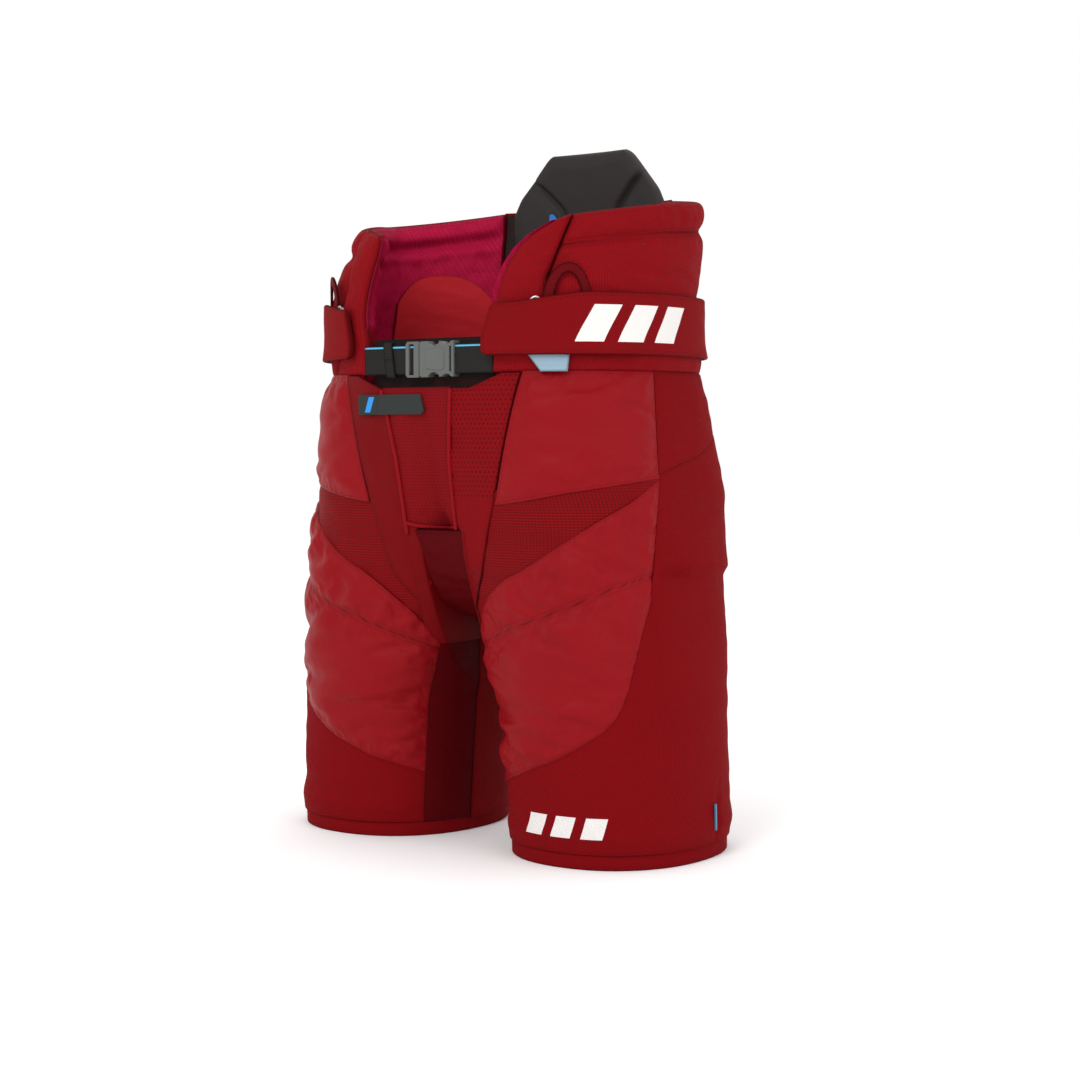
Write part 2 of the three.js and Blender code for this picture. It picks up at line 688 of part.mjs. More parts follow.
// The stretch panel that joins leg and waist: a mesh wedge at the front and a pleat at the back.
const TUCK = 4 * tall; // how far it reaches behind its neighbours
const STRETCH_DEPTH = SHELL + 1.7 * LAYER;
const STRETCH_THICK = 1.96;
const EXTRA_TURNS = [-165, -134, -115, -103, -98, -85, -77, 40, 72, 84, 96, 165]; // where the surface bends most
const edgeTurns = new Set([...WAIST_EDGE, ...LEG_EDGE].map(([turn]) => turn));
const stretchTurns = [...edgeTurns, ...EXTRA_TURNS].filter((turn) => turn < 180).sort((a, b) => a - b);
addPair("hip_stretch", cuff({
  turns: stretchTurns,
  bottom: (turn) => legEdge(turn) - TUCK,
  top: (turn) => waistEdge(turn) + TUCK,
  outer: STRETCH_DEPTH,
  inner: STRETCH_DEPTH + STRETCH_THICK,
  rows: 4,
  limit: INNER_GAP + SHELL - SEAM / 2,
}), MESH);

// The frame's origin is under the middle of the whole part.
const extent = new THREE.Box3().setFromObject(group);
group.position.set(0, -(extent.min.y + extent.max.y) / 2, -extent.min.z);

export default group;
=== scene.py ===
"""Ice hockey pants: the looks. Sizes are millimetres until a mesh is made, then metres, in the frame of the parts."""
import math

import bmesh
import bpy
import numpy as np
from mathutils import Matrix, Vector, noise


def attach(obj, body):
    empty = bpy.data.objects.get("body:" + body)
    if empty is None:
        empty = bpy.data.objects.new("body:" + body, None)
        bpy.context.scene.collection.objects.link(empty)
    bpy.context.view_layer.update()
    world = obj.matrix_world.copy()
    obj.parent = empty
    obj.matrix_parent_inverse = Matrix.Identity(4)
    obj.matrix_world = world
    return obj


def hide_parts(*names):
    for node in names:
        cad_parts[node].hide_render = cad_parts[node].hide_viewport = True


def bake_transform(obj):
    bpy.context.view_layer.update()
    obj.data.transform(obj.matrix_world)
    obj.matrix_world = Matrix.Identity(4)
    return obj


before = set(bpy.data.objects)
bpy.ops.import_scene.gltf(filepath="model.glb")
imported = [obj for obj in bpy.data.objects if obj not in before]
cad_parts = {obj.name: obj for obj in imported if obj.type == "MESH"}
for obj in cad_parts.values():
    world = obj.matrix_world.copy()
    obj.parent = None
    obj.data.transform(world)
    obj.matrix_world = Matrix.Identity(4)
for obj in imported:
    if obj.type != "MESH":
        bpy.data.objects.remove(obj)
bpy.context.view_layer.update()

MM = 0.001
FAR = 50.0  # a distance at which a seam or a groove no longer shows
SHIFT_Y = -6.205  # the frame's origin is under the middle of the box
GRID = 2.0  # spacing of a fabric piece's points
PAD_GRID = 3.6  # the same on a padded piece, which is subdivided after its simulation

# ---- the body surface: height, centre x, centre y, half width, half depth, squareness ----
SECTIONS = np.array([
    [0, 119, 0, 88, 98, 2.2],
    [20, 119, 0, 88, 98, 2.2],
    [125, 114, 1, 90, 100, 2.2],
    [208, 94, 6, 98, 112, 2.3],
    [300, 72, 12, 112, 122, 2.5],
    [353, 50, 10, 125, 124, 2.4],
    [395, 25, 6, 145, 124, 2.35],
    [430, 0, 2, 166, 122, 2.3],
    [480, 0, 2, 166, 122, 2.3],
    [549, 0, 5, 172, 127, 2.3],
    [620, 0, 5, 174, 128, 2.3],
])
HEIGHTS = np.arange(-40.0, 661.0)
REACH = 16  # how far a section's corner is smoothed, up and down


def smoothed(values, reach):
    """The values, one to a step, with their corners rounded over this many steps each way."""
    window = np.hanning(2 * reach + 1)
    return np.convolve(np.pad(values, reach, mode="edge"), window / window.sum(), mode="valid")


TABLE = [smoothed(np.interp(HEIGHTS, SECTIONS[:, 0], column), REACH) for column in SECTIONS.T[1:]]


def section(z):
    return [np.interp(z, HEIGHTS, column) for column in TABLE]


def signed_power(value, power):
    return np.sign(value) * np.abs(value) ** power


def skin(z, turn, depth=0.0):
    """Points of the left half. turn is in degrees: -90 front, 0 outer side, 90 rear, 180 inner side."""
    cx, cy, a, b, n = section(z)
    c, s = np.cos(np.radians(turn)), np.sin(np.radians(turn))
    x = cx + (a - depth) * signed_power(c, 2 / n)
    y = cy + (b - depth) * signed_power(s, 2 / n)
    return np.stack([x, y + SHIFT_Y, z + 0 * x], axis=-1)


def turn_at(x, z, facing):
    """The turn at which the surface crosses x, at the front (-1) or the rear (1)."""
    cx, _, a, _, n = section(z)
    return facing * np.degrees(np.arccos(np.clip(signed_power((x - cx) / a, n / 2), -1, 1)))


def across(x, z, facing, depth=0.0):
    """The same surface by x, for pieces that cross the centre plane."""
    cx, cy, a, b, n = section(z)
    share = np.minimum(np.abs(np.abs(x) - cx) / (a - depth), 1)
    y = cy + facing * (b - depth) * (1 - share ** n) ** (1 / n)
    return np.stack([x + 0 * y, y + SHIFT_Y, z + 0 * y], axis=-1)


def table(rows):
    """A line through rows of (key, value)."""
    keys, values = np.array(rows, float).T
    return lambda key: np.interp(key, keys, values)


def rounded(rows, reach, step=0.5):
    """A table whose corners are rounded over the reach."""
    keys, values = np.array(rows, float).T
    dense = np.arange(keys[0] - reach, keys[-1] + reach, step)
    smooth = smoothed(np.interp(dense, keys, values), int(reach / step) + 1)
    return lambda key: np.interp(key, dense, smooth)


def front_line(rows):
    """A line on the front, from rows of (height, x): the turn by height."""
    x_at = table(rows)
    return lambda z: turn_at(x_at(z), z, -1)


def at(value, key):
    """The value itself, or what it gives for the key when it is a line."""
    return value(key) if callable(value) else value + 0 * key


def ease(share):
    """From 0 to 1 with a soft start and a soft end."""
    share = np.clip(share, 0, 1)
    return share * share * (3 - 2 * share)


def soft_step(value):
    """A step from 0 to 1, half way at 0."""
    return 1 / (1 + np.exp(np.clip(-value, -30, 30)))


# ---- the driving sizes ----
SHELL_TOP = 404.0
HEM_TOP = 18.0
INNER_GAP = 22.5  # from the centre plane to the inner side of a leg
BELT_Z = 416.0
WEBBING = 25.0
BAND_Z = 443.0
BAND_HEIGHT = 51.0
WING = 12.0  # thickness of the high waist's pads
PAD = 9.0  # thickness of the pads on hip and thigh
CLOTH = 3.0
BACK_HALF = 94.0
PAD_CORNER = 150.0  # where the lower edge of the thigh pad has curved up into the side seam
SEAM_SINK = -1.2  # the two halves meet in a sewn seam, a little past the centre plane

# ---- seam lines: a height by turn, or a turn by height ----
PAD_EDGE = [[-145, 56], [-110, 72], [-90, 85], [-72, 101], [-60, 113], [-53, 123], [-47.5, 136], [-43, PAD_CORNER]]
YOKE_SEAM = [[-15, 319], [30, 352], [90, 362]]
waist_edge = table([[-180, 189], [-140, 201], [-122, 226], [-109, 232], [-92, 295], [-60, 306], [-15, 317],
                    [0, 290], [25, 243], [60, 237], [135, 237], [152, 200], [180, 189]])
wedge_foot = table([[-180, 165], [-143, 172], [-125, 200], [-105, 223], [-70, 262], [-47, 285], [-30, 300],
                    [-15, 317]])
second_seam = table([[-145, 166], [-115, 183], [-100, 192], [-70, 212], [-47, 228], [-26, 238]])
top_edge = table([[-60, 523], [-43, 531], [0, 545], [60, 562], [90, 564]])
pad_edge = table(PAD_EDGE)
yoke_seam = table(YOKE_SEAM)
shell_edge = table(PAD_EDGE + [[-26, 215]] + YOKE_SEAM)  # thigh pad, side seam, then the yoke seam
side_seam = table([[PAD_CORNER, -43], [215, -26], [317, -15], [400, -10]])
wing_split = table([[404, -50], [480, -50], [505, -46.5], [532, -42]])
front_seam = front_line([[200, 20], [207, 28], [215, 35], [225, 42], [237, 49], [256, 56], [271, 60], [295, 68],
                         [352, 82], [405, 95]])
wing_rim = front_line([[404, 68], [448, 69], [472, 73], [491, 81], [505, 91], [515, 102], [522, 113], [527, 121],
                       [531, 129]])
leaning_rim = front_line([[404, 68], [424, 69], [450, 75], [480, 78], [505, 80], [517, 85], [524, 93], [528, 103]])
lining_start = table([[404, 3.2], [430, 3.2], [446, -1.5]])  # behind the belt it stays clear of the keeper loop

# The fly's two edges: x by height.
fly_left = table([[215, 18], [275, 18], [330, 21], [390, 29], [404, 30]])
fly_right = table([[215, 30], [275, 32], [330, 35], [372, 42], [390, 47], [404, 48]])


def back_seam(z):
    return turn_at(BACK_HALF, z, 1)


def rear_centre(z):
    return turn_at(SEAM_SINK, z, 1)


# ---- materials ----
def linear(rgb):
    values = [c / 255 for c in rgb]
    return [c / 12.92 if c <= 0.04045 else ((c + 0.055) / 1.055) ** 2.4 for c in values] + [1.0]


def scaled(color, factor):
    return [c * factor for c in color[:3]] + [1.0]


class Nodes:
    """A short way to write node trees."""

    def __init__(self, name):
        self.material = bpy.data.materials.new(name)
        self.material.use_nodes = True
        self.tree = self.material.node_tree
        self.shader = self.tree.nodes["Principled BSDF"]

    def new(self, kind, **values):
        node = self.tree.nodes.new(kind)
        for key, value in values.items():
            setattr(node, key, value)
        return node

    def link(self, source, target):
        self.tree.links.new(source, target)

    def math(self, operation, first, second=None, third=None):
        node = self.new("ShaderNodeMath", operation=operation)
        for socket, value in zip(node.inputs, (first, second, third)):
            if value is None:
                continue
            if isinstance(value, (int, float)):
                socket.default_value = value
            else:
                self.link(value, socket)
        return node.outputs[0]

    def uv(self):
        """The piece's own surface coordinates in millimetres: along the turn, and up."""
        node = self.new("ShaderNodeSeparateXYZ")
        self.link(self.new("ShaderNodeUVMap", uv_map="UVMap").outputs[0], node.inputs[0])
        return node.outputs[0], node.outputs[1]

    def attribute(self, name):
        return self.new("ShaderNodeAttribute", attribute_name=name).outputs["Fac"]

    def mix(self, factor, first, second):
        node = self.new("ShaderNodeMix", data_type="RGBA")
        for socket, value in ((node.inputs[0], factor), (node.inputs[6], first), (node.inputs[7], second)):
            if isinstance(value, (int, float, list)):
                socket.default_value = value
            else:
                self.link(value, socket)
        return node.outputs[2]

    def noise(self, scale, detail=2.0, stretch=(1, 1, 1)):
        place = self.new("ShaderNodeMapping")
        place.inputs["Scale"].default_value = stretch
        self.link(self.new("ShaderNodeTexCoord").outputs["Object"], place.inputs[0])
        node = self.new("ShaderNodeTexNoise")
        node.inputs["Scale"].default_value = scale
        node.inputs["Detail"].default_value = detail
        self.link(place.outputs[0], node.inputs["Vector"])
        return node.outputs["Fac"]

    def wave(self, value, period):
        """0 to 1 and back over each period."""
        wave = self.math("SINE", self.math("MULTIPLY", value, math.tau / period))
        return self.math("MULTIPLY_ADD", wave, 0.5, 0.5)

    def bump(self, height, strength, distance, below=None):
        node = self.new("ShaderNodeBump")
        node.inputs["Strength"].default_value = strength
        node.inputs["Distance"].default_value = distance
        self.link(height, node.inputs["Height"])
        if below is not None:
            self.link(below, node.inputs["Normal"])
        return node.outputs[0]


STITCH_INSET = 3.2  # from a seam to its row of stitches
STITCH_PERIOD = 3.6
STITCH_HALF = 0.42  # half the thread's width
SEAM_SHADE = 1.9  # how far the dark line along a seam reaches


def fabric(name, rgb, roughness, weave, weave_depth, stitches=True, dark=None, gloss=0.04, contrast=0.5):
    """A cloth. weave(nodes, u, v) gives its pattern's height, and dark, if there is one, a mask and that mask's colour.

    contrast is how much darker the low parts of the weave are.
    """
    n = Nodes(name)
    u, v = n.uv()
    base = linear(rgb)
    cloudy = n.math("MULTIPLY_ADD", n.noise(22, 4), 0.24, 0.38)
    color = n.mix(cloudy, scaled(base, 0.72), scaled(base, 1.25))
    height = weave(n, u, v)
    color = n.mix(n.math("MULTIPLY", n.math("SUBTRACT", 1.0, height), contrast), color, scaled(base, 0.3))
    if dark:
        mask, tone = dark(n, u, v)
        color = n.mix(mask, color, linear(tone))
    normal = n.bump(height, 0.55, weave_depth * MM)
    edge = n.attribute("edge")
    # Painted shade: the cloth darkens to a dark line along each seam and stitched groove.
    near_seam = n.math("SMOOTH_MIN", n.math("DIVIDE", edge, SEAM_SHADE), 1.0, 0.3)
    color = n.mix(n.math("MULTIPLY", n.math("SUBTRACT", 1.0, near_seam), 0.8), color, scaled(base, 0.16))
    if stitches:
        line = n.math("LESS_THAN", n.math("ABSOLUTE", n.math("SUBTRACT", edge, STITCH_INSET)), STITCH_HALF)
        dash = n.math("GREATER_THAN", n.wave(n.attribute("along"), STITCH_PERIOD), 0.22)
        thread = n.math("MULTIPLY", line, dash)
        color = n.mix(n.math("MULTIPLY", thread, 0.4), color, scaled(base, 0.45))
        normal = n.bump(n.math("SUBTRACT", 1.0, line), 0.6, 0.5 * MM, normal)
    normal = n.bump(n.noise(60, 5, (1, 1, 1.6)), 0.35, 1.3 * MM, normal)
    n.link(color, n.shader.inputs["Base Color"])
    n.link(normal, n.shader.inputs["Normal"])
    n.shader.inputs["Roughness"].default_value = roughness
    n.shader.inputs["Sheen Weight"].default_value = 0.1
    n.shader.inputs["Sheen Roughness"].default_value = 0.45
    n.shader.inputs["Sheen Tint"].default_value = [min(1, c) for c in scaled(base, 2.2)]
    n.shader.inputs["Specular IOR Level"].default_value = gloss
    return n.material


def plain_weave(period):
    return lambda n, u, v: n.math("MAXIMUM", n.wave(u, period), n.wave(v, period))


def twill(period, lean=1.0):
    """Slanted ribs with a notch in each."""
    def pattern(n, u, v):
        across_rib = n.math("ADD", u, n.math("MULTIPLY", v, lean))
        rib = n.wave(across_rib, period)
        notch = n.wave(n.math("SUBTRACT", v, n.math("MULTIPLY", u, 0.25)), period * 0.8)
        return n.math("MULTIPLY_ADD", notch, 0.25, n.math("MULTIPLY", rib, 0.75))
    return pattern


def knit(period):
    """Short staggered stitches in columns."""
    def pattern(n, u, v):
        column = n.wave(u, period)
        lean = n.math("MULTIPLY", n.math("ABSOLUTE", n.math("SUBTRACT", column, 0.5)), period)
        row = n.wave(n.math("ADD", v, lean), period * 0.8)
        return n.math("MULTIPLY_ADD", row, 0.55, n.math("MULTIPLY", column, 0.45))
    return pattern


def dots(period, share, above=0.0, tone=(78, 7, 12)):
    """Round holes in staggered rows, above a height. share is their radius as a share of the period."""
    def mask(n, u, v):
        row = n.math("DIVIDE", v, period * 0.86)
        skewed = n.math("ADD", u, n.math("MULTIPLY", n.math("FLOOR", row), period / 2))
        du = n.math("SUBTRACT", n.math("FRACT", n.math("DIVIDE", skewed, period)), 0.5)
        dv = n.math("SUBTRACT", n.math("FRACT", row), 0.5)
        far = n.math("SQRT", n.math("ADD", n.math("MULTIPLY", du, du), n.math("MULTIPLY", dv, dv)))
        hole = n.math("LESS_THAN", far, share)
        return n.math("MULTIPLY", hole, n.math("GREATER_THAN", v, above)), tone
    return mask


def ribs(period, upright=0.3):
    """Ribs across, with a share of upright ones."""
    def pattern(n, u, v):
        crossing = n.math("MULTIPLY", n.wave(v, period), 1 - upright)
        return n.math("MULTIPLY_ADD", n.wave(u, period * 0.8), upright, crossing)
    return pattern


def line_pattern(n, u, v):
    """Fine nested chevrons printed on the lining."""
    cell = 13.0
    fold = n.math("ABSOLUTE", n.math("SUBTRACT", n.math("FRACT", n.math("DIVIDE", u, cell)), 0.5))
    ridge = n.math("ADD", v, n.math("MULTIPLY", fold, cell))
    steep = n.math("ADD", u, n.math("MULTIPLY", v, 0.45))
    first = n.math("GREATER_THAN", n.wave(ridge, 3.1), 0.8)
    second = n.math("GREATER_THAN", n.wave(steep, 5.3), 0.88)
    faded = n.math("MULTIPLY_ADD", n.noise(70, 3), 0.9, -0.2)
    return n.math("MULTIPLY", n.math("MAXIMUM", first, second), faded), (196, 34, 84)


def slanted_bars(first, width, gap, count, low, high, tone=(226, 223, 220)):
    """Plain printed bars between two heights. first is where the first one starts, along the cloth."""
    def mask(n, u, v):
        lean = n.math("MULTIPLY", n.math("SUBTRACT", v, low), 0.35)
        step = n.math("DIVIDE", n.math("SUBTRACT", n.math("SUBTRACT", u, first), lean), width + gap)
        inside = n.math("LESS_THAN", n.math("FRACT", step), width / (width + gap))
        for operation, value, limit in (("GREATER_THAN", step, 0.0), ("LESS_THAN", step, float(count)),
                                        ("GREATER_THAN", v, low), ("LESS_THAN", v, high)):
            inside = n.math("MULTIPLY", inside, n.math(operation, value, limit))
        return n.math("MULTIPLY", inside, n.attribute("printed")), tone
    return mask


def thread_line(height, width, tone):
    """One coloured line along a strap."""
    def mask(n, u, v):
        return n.math("LESS_THAN", n.math("ABSOLUTE", n.math("SUBTRACT", v, height)), width / 2), tone
    return mask


RED_KNIT = (136, 12, 19)
BLACK_YARN = (42, 41, 39)
DARK_TAPE = (55, 59, 57)
NYLON = fabric("nylon", (139, 14, 22), 0.42, plain_weave(0.9), 0.12, gloss=0.07)
KNIT = fabric("knit_twill", RED_KNIT, 0.8, twill(2.3), 0.9, contrast=0.75)
KNIT_MARKED = fabric("knit_marked", RED_KNIT, 0.8, twill(2.3), 0.9, contrast=0.75,
                     dark=slanted_bars(57, 18, 9, 3, 26, 43))
WING_KNIT = fabric("wing_knit", (141, 15, 23), 0.75, knit(2.4), 0.5, contrast=0.65)
BAND_KNIT = fabric("band_knit", (133, 14, 20), 0.72, knit(2.0), 0.45, contrast=0.65,
                   dark=slanted_bars(80, 24, 12, 3, 428, 458))
PERFORATED = fabric("perforated", (124, 11, 18), 0.7, plain_weave(1.2), 0.15, dark=dots(4.6, 0.19, 302))
SMOOTH = fabric("smooth_nylon", (114, 8, 14), 0.5, plain_weave(0.9), 0.12, gloss=0.05)
FLY_MESH = fabric("fly_mesh", (131, 18, 24), 0.78, knit(2.1), 0.4, dark=dots(3.0, 0.17))
MESH = fabric("stretch_mesh", (127, 9, 15), 0.6, ribs(2.4), 0.5, dark=dots(2.6, 0.24), gloss=0.05)
# A darker copy of the nylon: painted shade for the pieces between the legs, the inner strip and the crotch gusset.
SHADED_NYLON = fabric("gusset", (84, 3, 9), 0.6, plain_weave(1.0), 0.12)
LINING = fabric("lining", (160, 14, 52), 0.6, plain_weave(1.0), 0.12, dark=line_pattern)
BACK_MESH = fabric("back_mesh", (52, 49, 49), 0.85, knit(1.8), 0.3, dark=dots(2.4, 0.22))
BINDING = fabric("binding", (142, 18, 28), 0.55, ribs(1.6), 0.15, stitches=False)
PATCH = fabric("patch", (186, 36, 45), 0.5, plain_weave(0.8), 0.1, stitches=False)
TAB = fabric("tab_tape", DARK_TAPE, 0.6, ribs(1.5), 0.2)
TAB_BASE = fabric("tab_base_tape", DARK_TAPE, 0.6, ribs(1.5), 0.2,
                  dark=slanted_bars(-102, 6, 20, 1, 372, 385, (56, 140, 214)))
BLACK_MESH = fabric("black_mesh", (38, 37, 36), 0.8, knit(1.6), 0.3, dark=dots(2.2, 0.22))
BLACK_WEBBING = fabric("webbing", BLACK_YARN, 0.65, twill(2.2, 0.5), 0.4, stitches=False)
RED_WEBBING = fabric("red_webbing", (104, 12, 18), 0.7, twill(2.0, 0.5), 0.5, stitches=False)

BELT = fabric("belt_webbing", BLACK_YARN, 0.62, twill(2.4, 0.35), 0.45, stitches=False,
              dark=thread_line(BELT_Z + 10.6, 1.4, (96, 176, 214)))
TAG = fabric("tag", (150, 176, 192), 0.6, ribs(1.0), 0.1, stitches=False)
HEM_TAG = fabric("hem_tag", (110, 180, 214), 0.6, ribs(1.0), 0.1)


def moulded(name, rgb, roughness, grain, depth, metallic=0.0):
    """Foam, plastic or metal with a fine grain."""
    n = Nodes(name)
    base = linear(rgb)
    fine = n.noise(grain, 6)
    color = n.mix(n.math("MULTIPLY", fine, 0.8), scaled(base, 0.75), scaled(base, 1.3))
    n.link(color, n.shader.inputs["Base Color"])
    n.shader.inputs["Metallic"].default_value = metallic
    rough = n.math("MULTIPLY_ADD", n.noise(40, 4), 0.2, roughness - 0.1)
    n.link(rough, n.shader.inputs["Roughness"])
    n.link(n.bump(fine, 0.5, depth * MM), n.shader.inputs["Normal"])
    n.shader.inputs["Specular IOR Level"].default_value = 0.2
    return n.material


FOAM = moulded("guard_foam", (41, 36, 35), 0.62, 900, 0.25)
PLASTIC = moulded("buckle_plastic", (92, 95, 92), 0.42, 1500, 0.06)
PLATE = moulded("plate_plastic", (225, 225, 220), 0.45, 700, 0.1)
METAL = moulded("metal", (176, 177, 174), 0.28, 500, 0.03, metallic=1.0)
BLUE = moulded("blue_insert", (30, 118, 200), 0.5, 800, 0.2)
# White all over: a painted highlight, the blown-out shine of a metal button given as the cap's colour.
HIGHLIGHT_CAP = moulded("highlight_cap", (232, 230, 224), 0.3, 600, 0.05)


# ---- meshes ----
def add_object(name, data):
    obj = bpy.data.objects.new(name, data)
    bpy.context.scene.collection.objects.link(obj)
    return obj


def set_uv(mesh, uv):
    """One pair of surface coordinates for each point."""
    layer = mesh.uv_layers.new(name="UVMap")
    index = np.empty(len(mesh.loops), np.int32)
    mesh.loops.foreach_get("vertex_index", index)
    layer.data.foreach_set("uv", np.asarray(uv, np.float32)[index].ravel())


def set_attributes(mesh, attributes):
    """What the fabrics read: the distance to a seam (edge), the way along it, and whether the side is printed."""
    for key, values in attributes.items():
        layer = mesh.attributes.new(key, "FLOAT", "POINT")
        layer.data.foreach_set("value", np.broadcast_to(np.asarray(values, np.float32), len(mesh.vertices)).copy())


def smooth_faces(mesh):
    mesh.polygons.foreach_set("use_smooth", [True] * len(mesh.polygons))


def make_mesh(name, points, faces, material, uv=None, attributes=None):
    mesh = bpy.data.meshes.new(name)
    mesh.from_pydata([tuple(p) for p in np.asarray(points) * MM], [], faces)
    mesh.materials.append(material)
    smooth_faces(mesh)
    set_attributes(mesh, attributes or {})
    if uv is not None:
        set_uv(mesh, uv)
    mesh.update()
    return add_object(name, mesh)


def mirrored(points, faces, side):
    """The points and faces as they are on the left, or turned over to the right."""
    if side > 0:
        return points, faces
    return points * np.array([-1, 1, 1]), [face[::-1] for face in faces]


def fractal(points, scale, octaves=3, stretch=(1.0, 1.0, 1.0), seed=0.0):
    """Smooth noise from about -1 to 1 at each point. scale is the size of its lumps in millimetres."""
    flat = np.asarray(points).reshape(-1, 3) / scale * np.array(stretch) + seed
    values = [noise.fractal(Vector(p), 0.6, 2.1, octaves) for p in flat.tolist()]
    return np.array(values).reshape(np.asarray(points).shape[:-1])


def spaced(length, radius, step):
    """Shares from 0 to 1, close together near both ends so that an edge can be rounded."""
    ends = np.array([0, 0.12, 0.35, 0.7, 1.2, 2.0]) * radius
    ends = ends[ends < length * 0.4]
    count = max(2, int(round((length - 2 * ends[-1]) / step)))
    middle = np.linspace(ends[-1], length - ends[-1], count + 1)[1:-1]
    return np.concatenate([ends, middle, (length - ends)[::-1]]) / length


def rounding(distance, radius):
    """How far a rounded edge has dropped at a distance from it."""
    inside = np.clip(distance, 0, radius)
    return radius - np.sqrt(np.maximum(radius ** 2 - (radius - inside) ** 2, 0))


def sheet_faces(columns, rows):
    """Faces of an outer sheet, an inner sheet and the rim between them."""
    faces = []
    sheet = columns * rows
    for i in range(columns - 1):
        for j in range(rows - 1):
            a, b, c, d = i * rows + j, (i + 1) * rows + j, (i + 1) * rows + j + 1, i * rows + j + 1
            faces.append((a, b, c, d))
            faces.append((sheet + a, sheet + d, sheet + c, sheet + b))
    rim = [i * rows for i in range(columns)]
    rim += [(columns - 1) * rows + j for j in range(1, rows)]
    rim += [i * rows + rows - 1 for i in range(columns - 2, -1, -1)]
    rim += [j for j in range(rows - 2, 0, -1)]
    for k, a in enumerate(rim):
        b = rim[(k + 1) % len(rim)]
        faces.append((a, sheet + a, sheet + b, b))
    return faces


ALL_EDGES = (True, True, True, True)
NO_EDGES = (False, False, False, False)
LONG_EDGES = (False, False, True, True)
LIFT_REACH = 14.0  # folds and puff grow over this distance from a seam
NO_SEAM = 1000.0


def slab(name, side, place, length, height, thick, radius, material, lift=None, underside=None,
         grooves=None, groove_depth=1.5, round_edges=ALL_EDGES, step=GRID):
    """A closed sheet of cloth or foam with rounded edges.

    place(s, t, depth) gives points for shares s across and t up. lift(points, s, t) is the extra height outwards, and
    underside(points, s, t) inwards. grooves(points, s, t) gives the distance to stitched lines, in millimetres.
    round_edges says which edges are rounded and counted as seams: first, last, bottom, top.
    """
    s = spaced(length, radius, step)
    t = spaced(height, radius, step)
    S, T = np.meshgrid(s, t, indexing="ij")
    base = place(S, T, 0.0)
    widths = np.linalg.norm(np.diff(base, axis=0), axis=-1)
    heights = np.linalg.norm(np.diff(base, axis=1), axis=-1)
    run = np.vstack([np.zeros((1, len(t))), np.cumsum(widths, axis=0)])
    rise = np.hstack([np.zeros((len(s), 1)), np.cumsum(heights, axis=1)])
    distances = [run, run[-1] - run, rise, rise[:, -1:] - rise]
    distances = [d if keep else np.full(S.shape, NO_SEAM) for d, keep in zip(distances, round_edges)]
    edge = np.minimum.reduce(distances)
    upright = np.minimum(distances[0], distances[1]) < np.minimum(distances[2], distances[3])
    along = np.where(upright, rise, run)
    seam = edge.copy()
    outward = -rounding(edge, radius)
    inward = thick - rounding(edge, min(radius, thick * 0.45))
    if grooves is not None:
        line = grooves(base, S, T)
        outward -= groove_depth * np.exp(-(line / (1.6 + 0.6 * groove_depth)) ** 2)
        # a groove counts as a seam, so it also gets stitches and the painted seam shade
        seam = np.minimum(seam, np.abs(line))
        along = np.where(np.abs(line) < edge, run, along)
    grown = np.clip(edge / LIFT_REACH, 0, 1) ** 0.7
    if lift is not None:
        outward += lift(base, S, T) * grown
    if underside is not None:
        inward += underside(base, S, T) * grown
    outer = place(S, T, -outward)
    inner = place(S, T, np.maximum(inward, 0.4 - outward))
    points = np.concatenate([outer.reshape(-1, 3), inner.reshape(-1, 3)])
    points, faces = mirrored(points, sheet_faces(len(s), len(t)), side)
    uv = np.stack([run, base[..., 2]], axis=-1).reshape(-1, 2)
    printed = np.repeat([1.0, 0.0], seam.size)  # only the outer side carries a print
    attributes = {"edge": np.tile(seam.ravel(), 2), "along": np.tile(along.ravel(), 2), "printed": printed}
    return make_mesh(name, points, faces, material, np.tile(uv, (2, 1)), attributes)


FRONT_OF_THIGH = np.array(-60.0)
HALF_STEPS = 24  # enough to settle, and halved since a steep edge swings otherwise


def turn_panel(name, side, start, end, bottom, top, depth=0.0, thick=CLOTH, radius=2.0, material=None, limit=None,
               shift=None, **more):
    """A slab on the left half's surface between two turns and two heights, or on its mirror image.

    limit is the nearest that it comes to the centre plane, and shift moves its points afterwards.
    """
    middle = (at(bottom, FRONT_OF_THIGH) + at(top, FRONT_OF_THIGH)) / 2

    def settle(edge, s):
        """The height of an edge at each share across, where its turn depends on that height too."""
        z = np.full(s.shape, float(middle))
        for _ in range(HALF_STEPS):
            z = (z + at(edge, at(start, z) * (1 - s) + at(end, z) * s)) / 2
        return z

    def place(S, T, more_depth):
        s = S[:, :1]
        own_depth = depth(S) if callable(depth) else depth
        low, high = settle(bottom, s), settle(top, s)
        z = low + (high - low) * T
        turn = at(start, z) * (1 - S) + at(end, z) * S
        points = skin(z, turn, own_depth + more_depth)
        if limit is not None:
            wall = limit + np.maximum(more_depth + own_depth, -2.0)
            points[..., 0] = np.maximum(points[..., 0], wall)
        return points if shift is None else shift(points)

    probe = np.linspace(0, 1, 40)
    S, T = np.meshgrid(probe, probe, indexing="ij")
    grid = place(S, T, 0.0)
    length = np.linalg.norm(np.diff(grid, axis=0), axis=-1).sum(axis=0).mean()
    height = np.linalg.norm(np.diff(grid, axis=1), axis=-1).sum(axis=1).mean()
    return slab(name, side, place, length, height, thick, radius, material, **more)


def centre_panel(name, half, bottom, top, facing, depth=0.0, thick=CLOTH, radius=2.0, material=None, middle=0.0,
                 **more):
    """A slab across the centre plane, with a half width and a middle that may change with the height."""
    def place(S, T, more_depth):
        z = bottom + (top - bottom) * T
        x = (2 * S - 1) * at(half, z) * -facing + at(middle, z)
        return across(x, z, facing, depth + more_depth)

    width = 2 * float(np.mean(at(half, np.linspace(bottom, top, 20))))
    return slab(name, 1, place, width, top - bottom, thick, radius, material, **more)


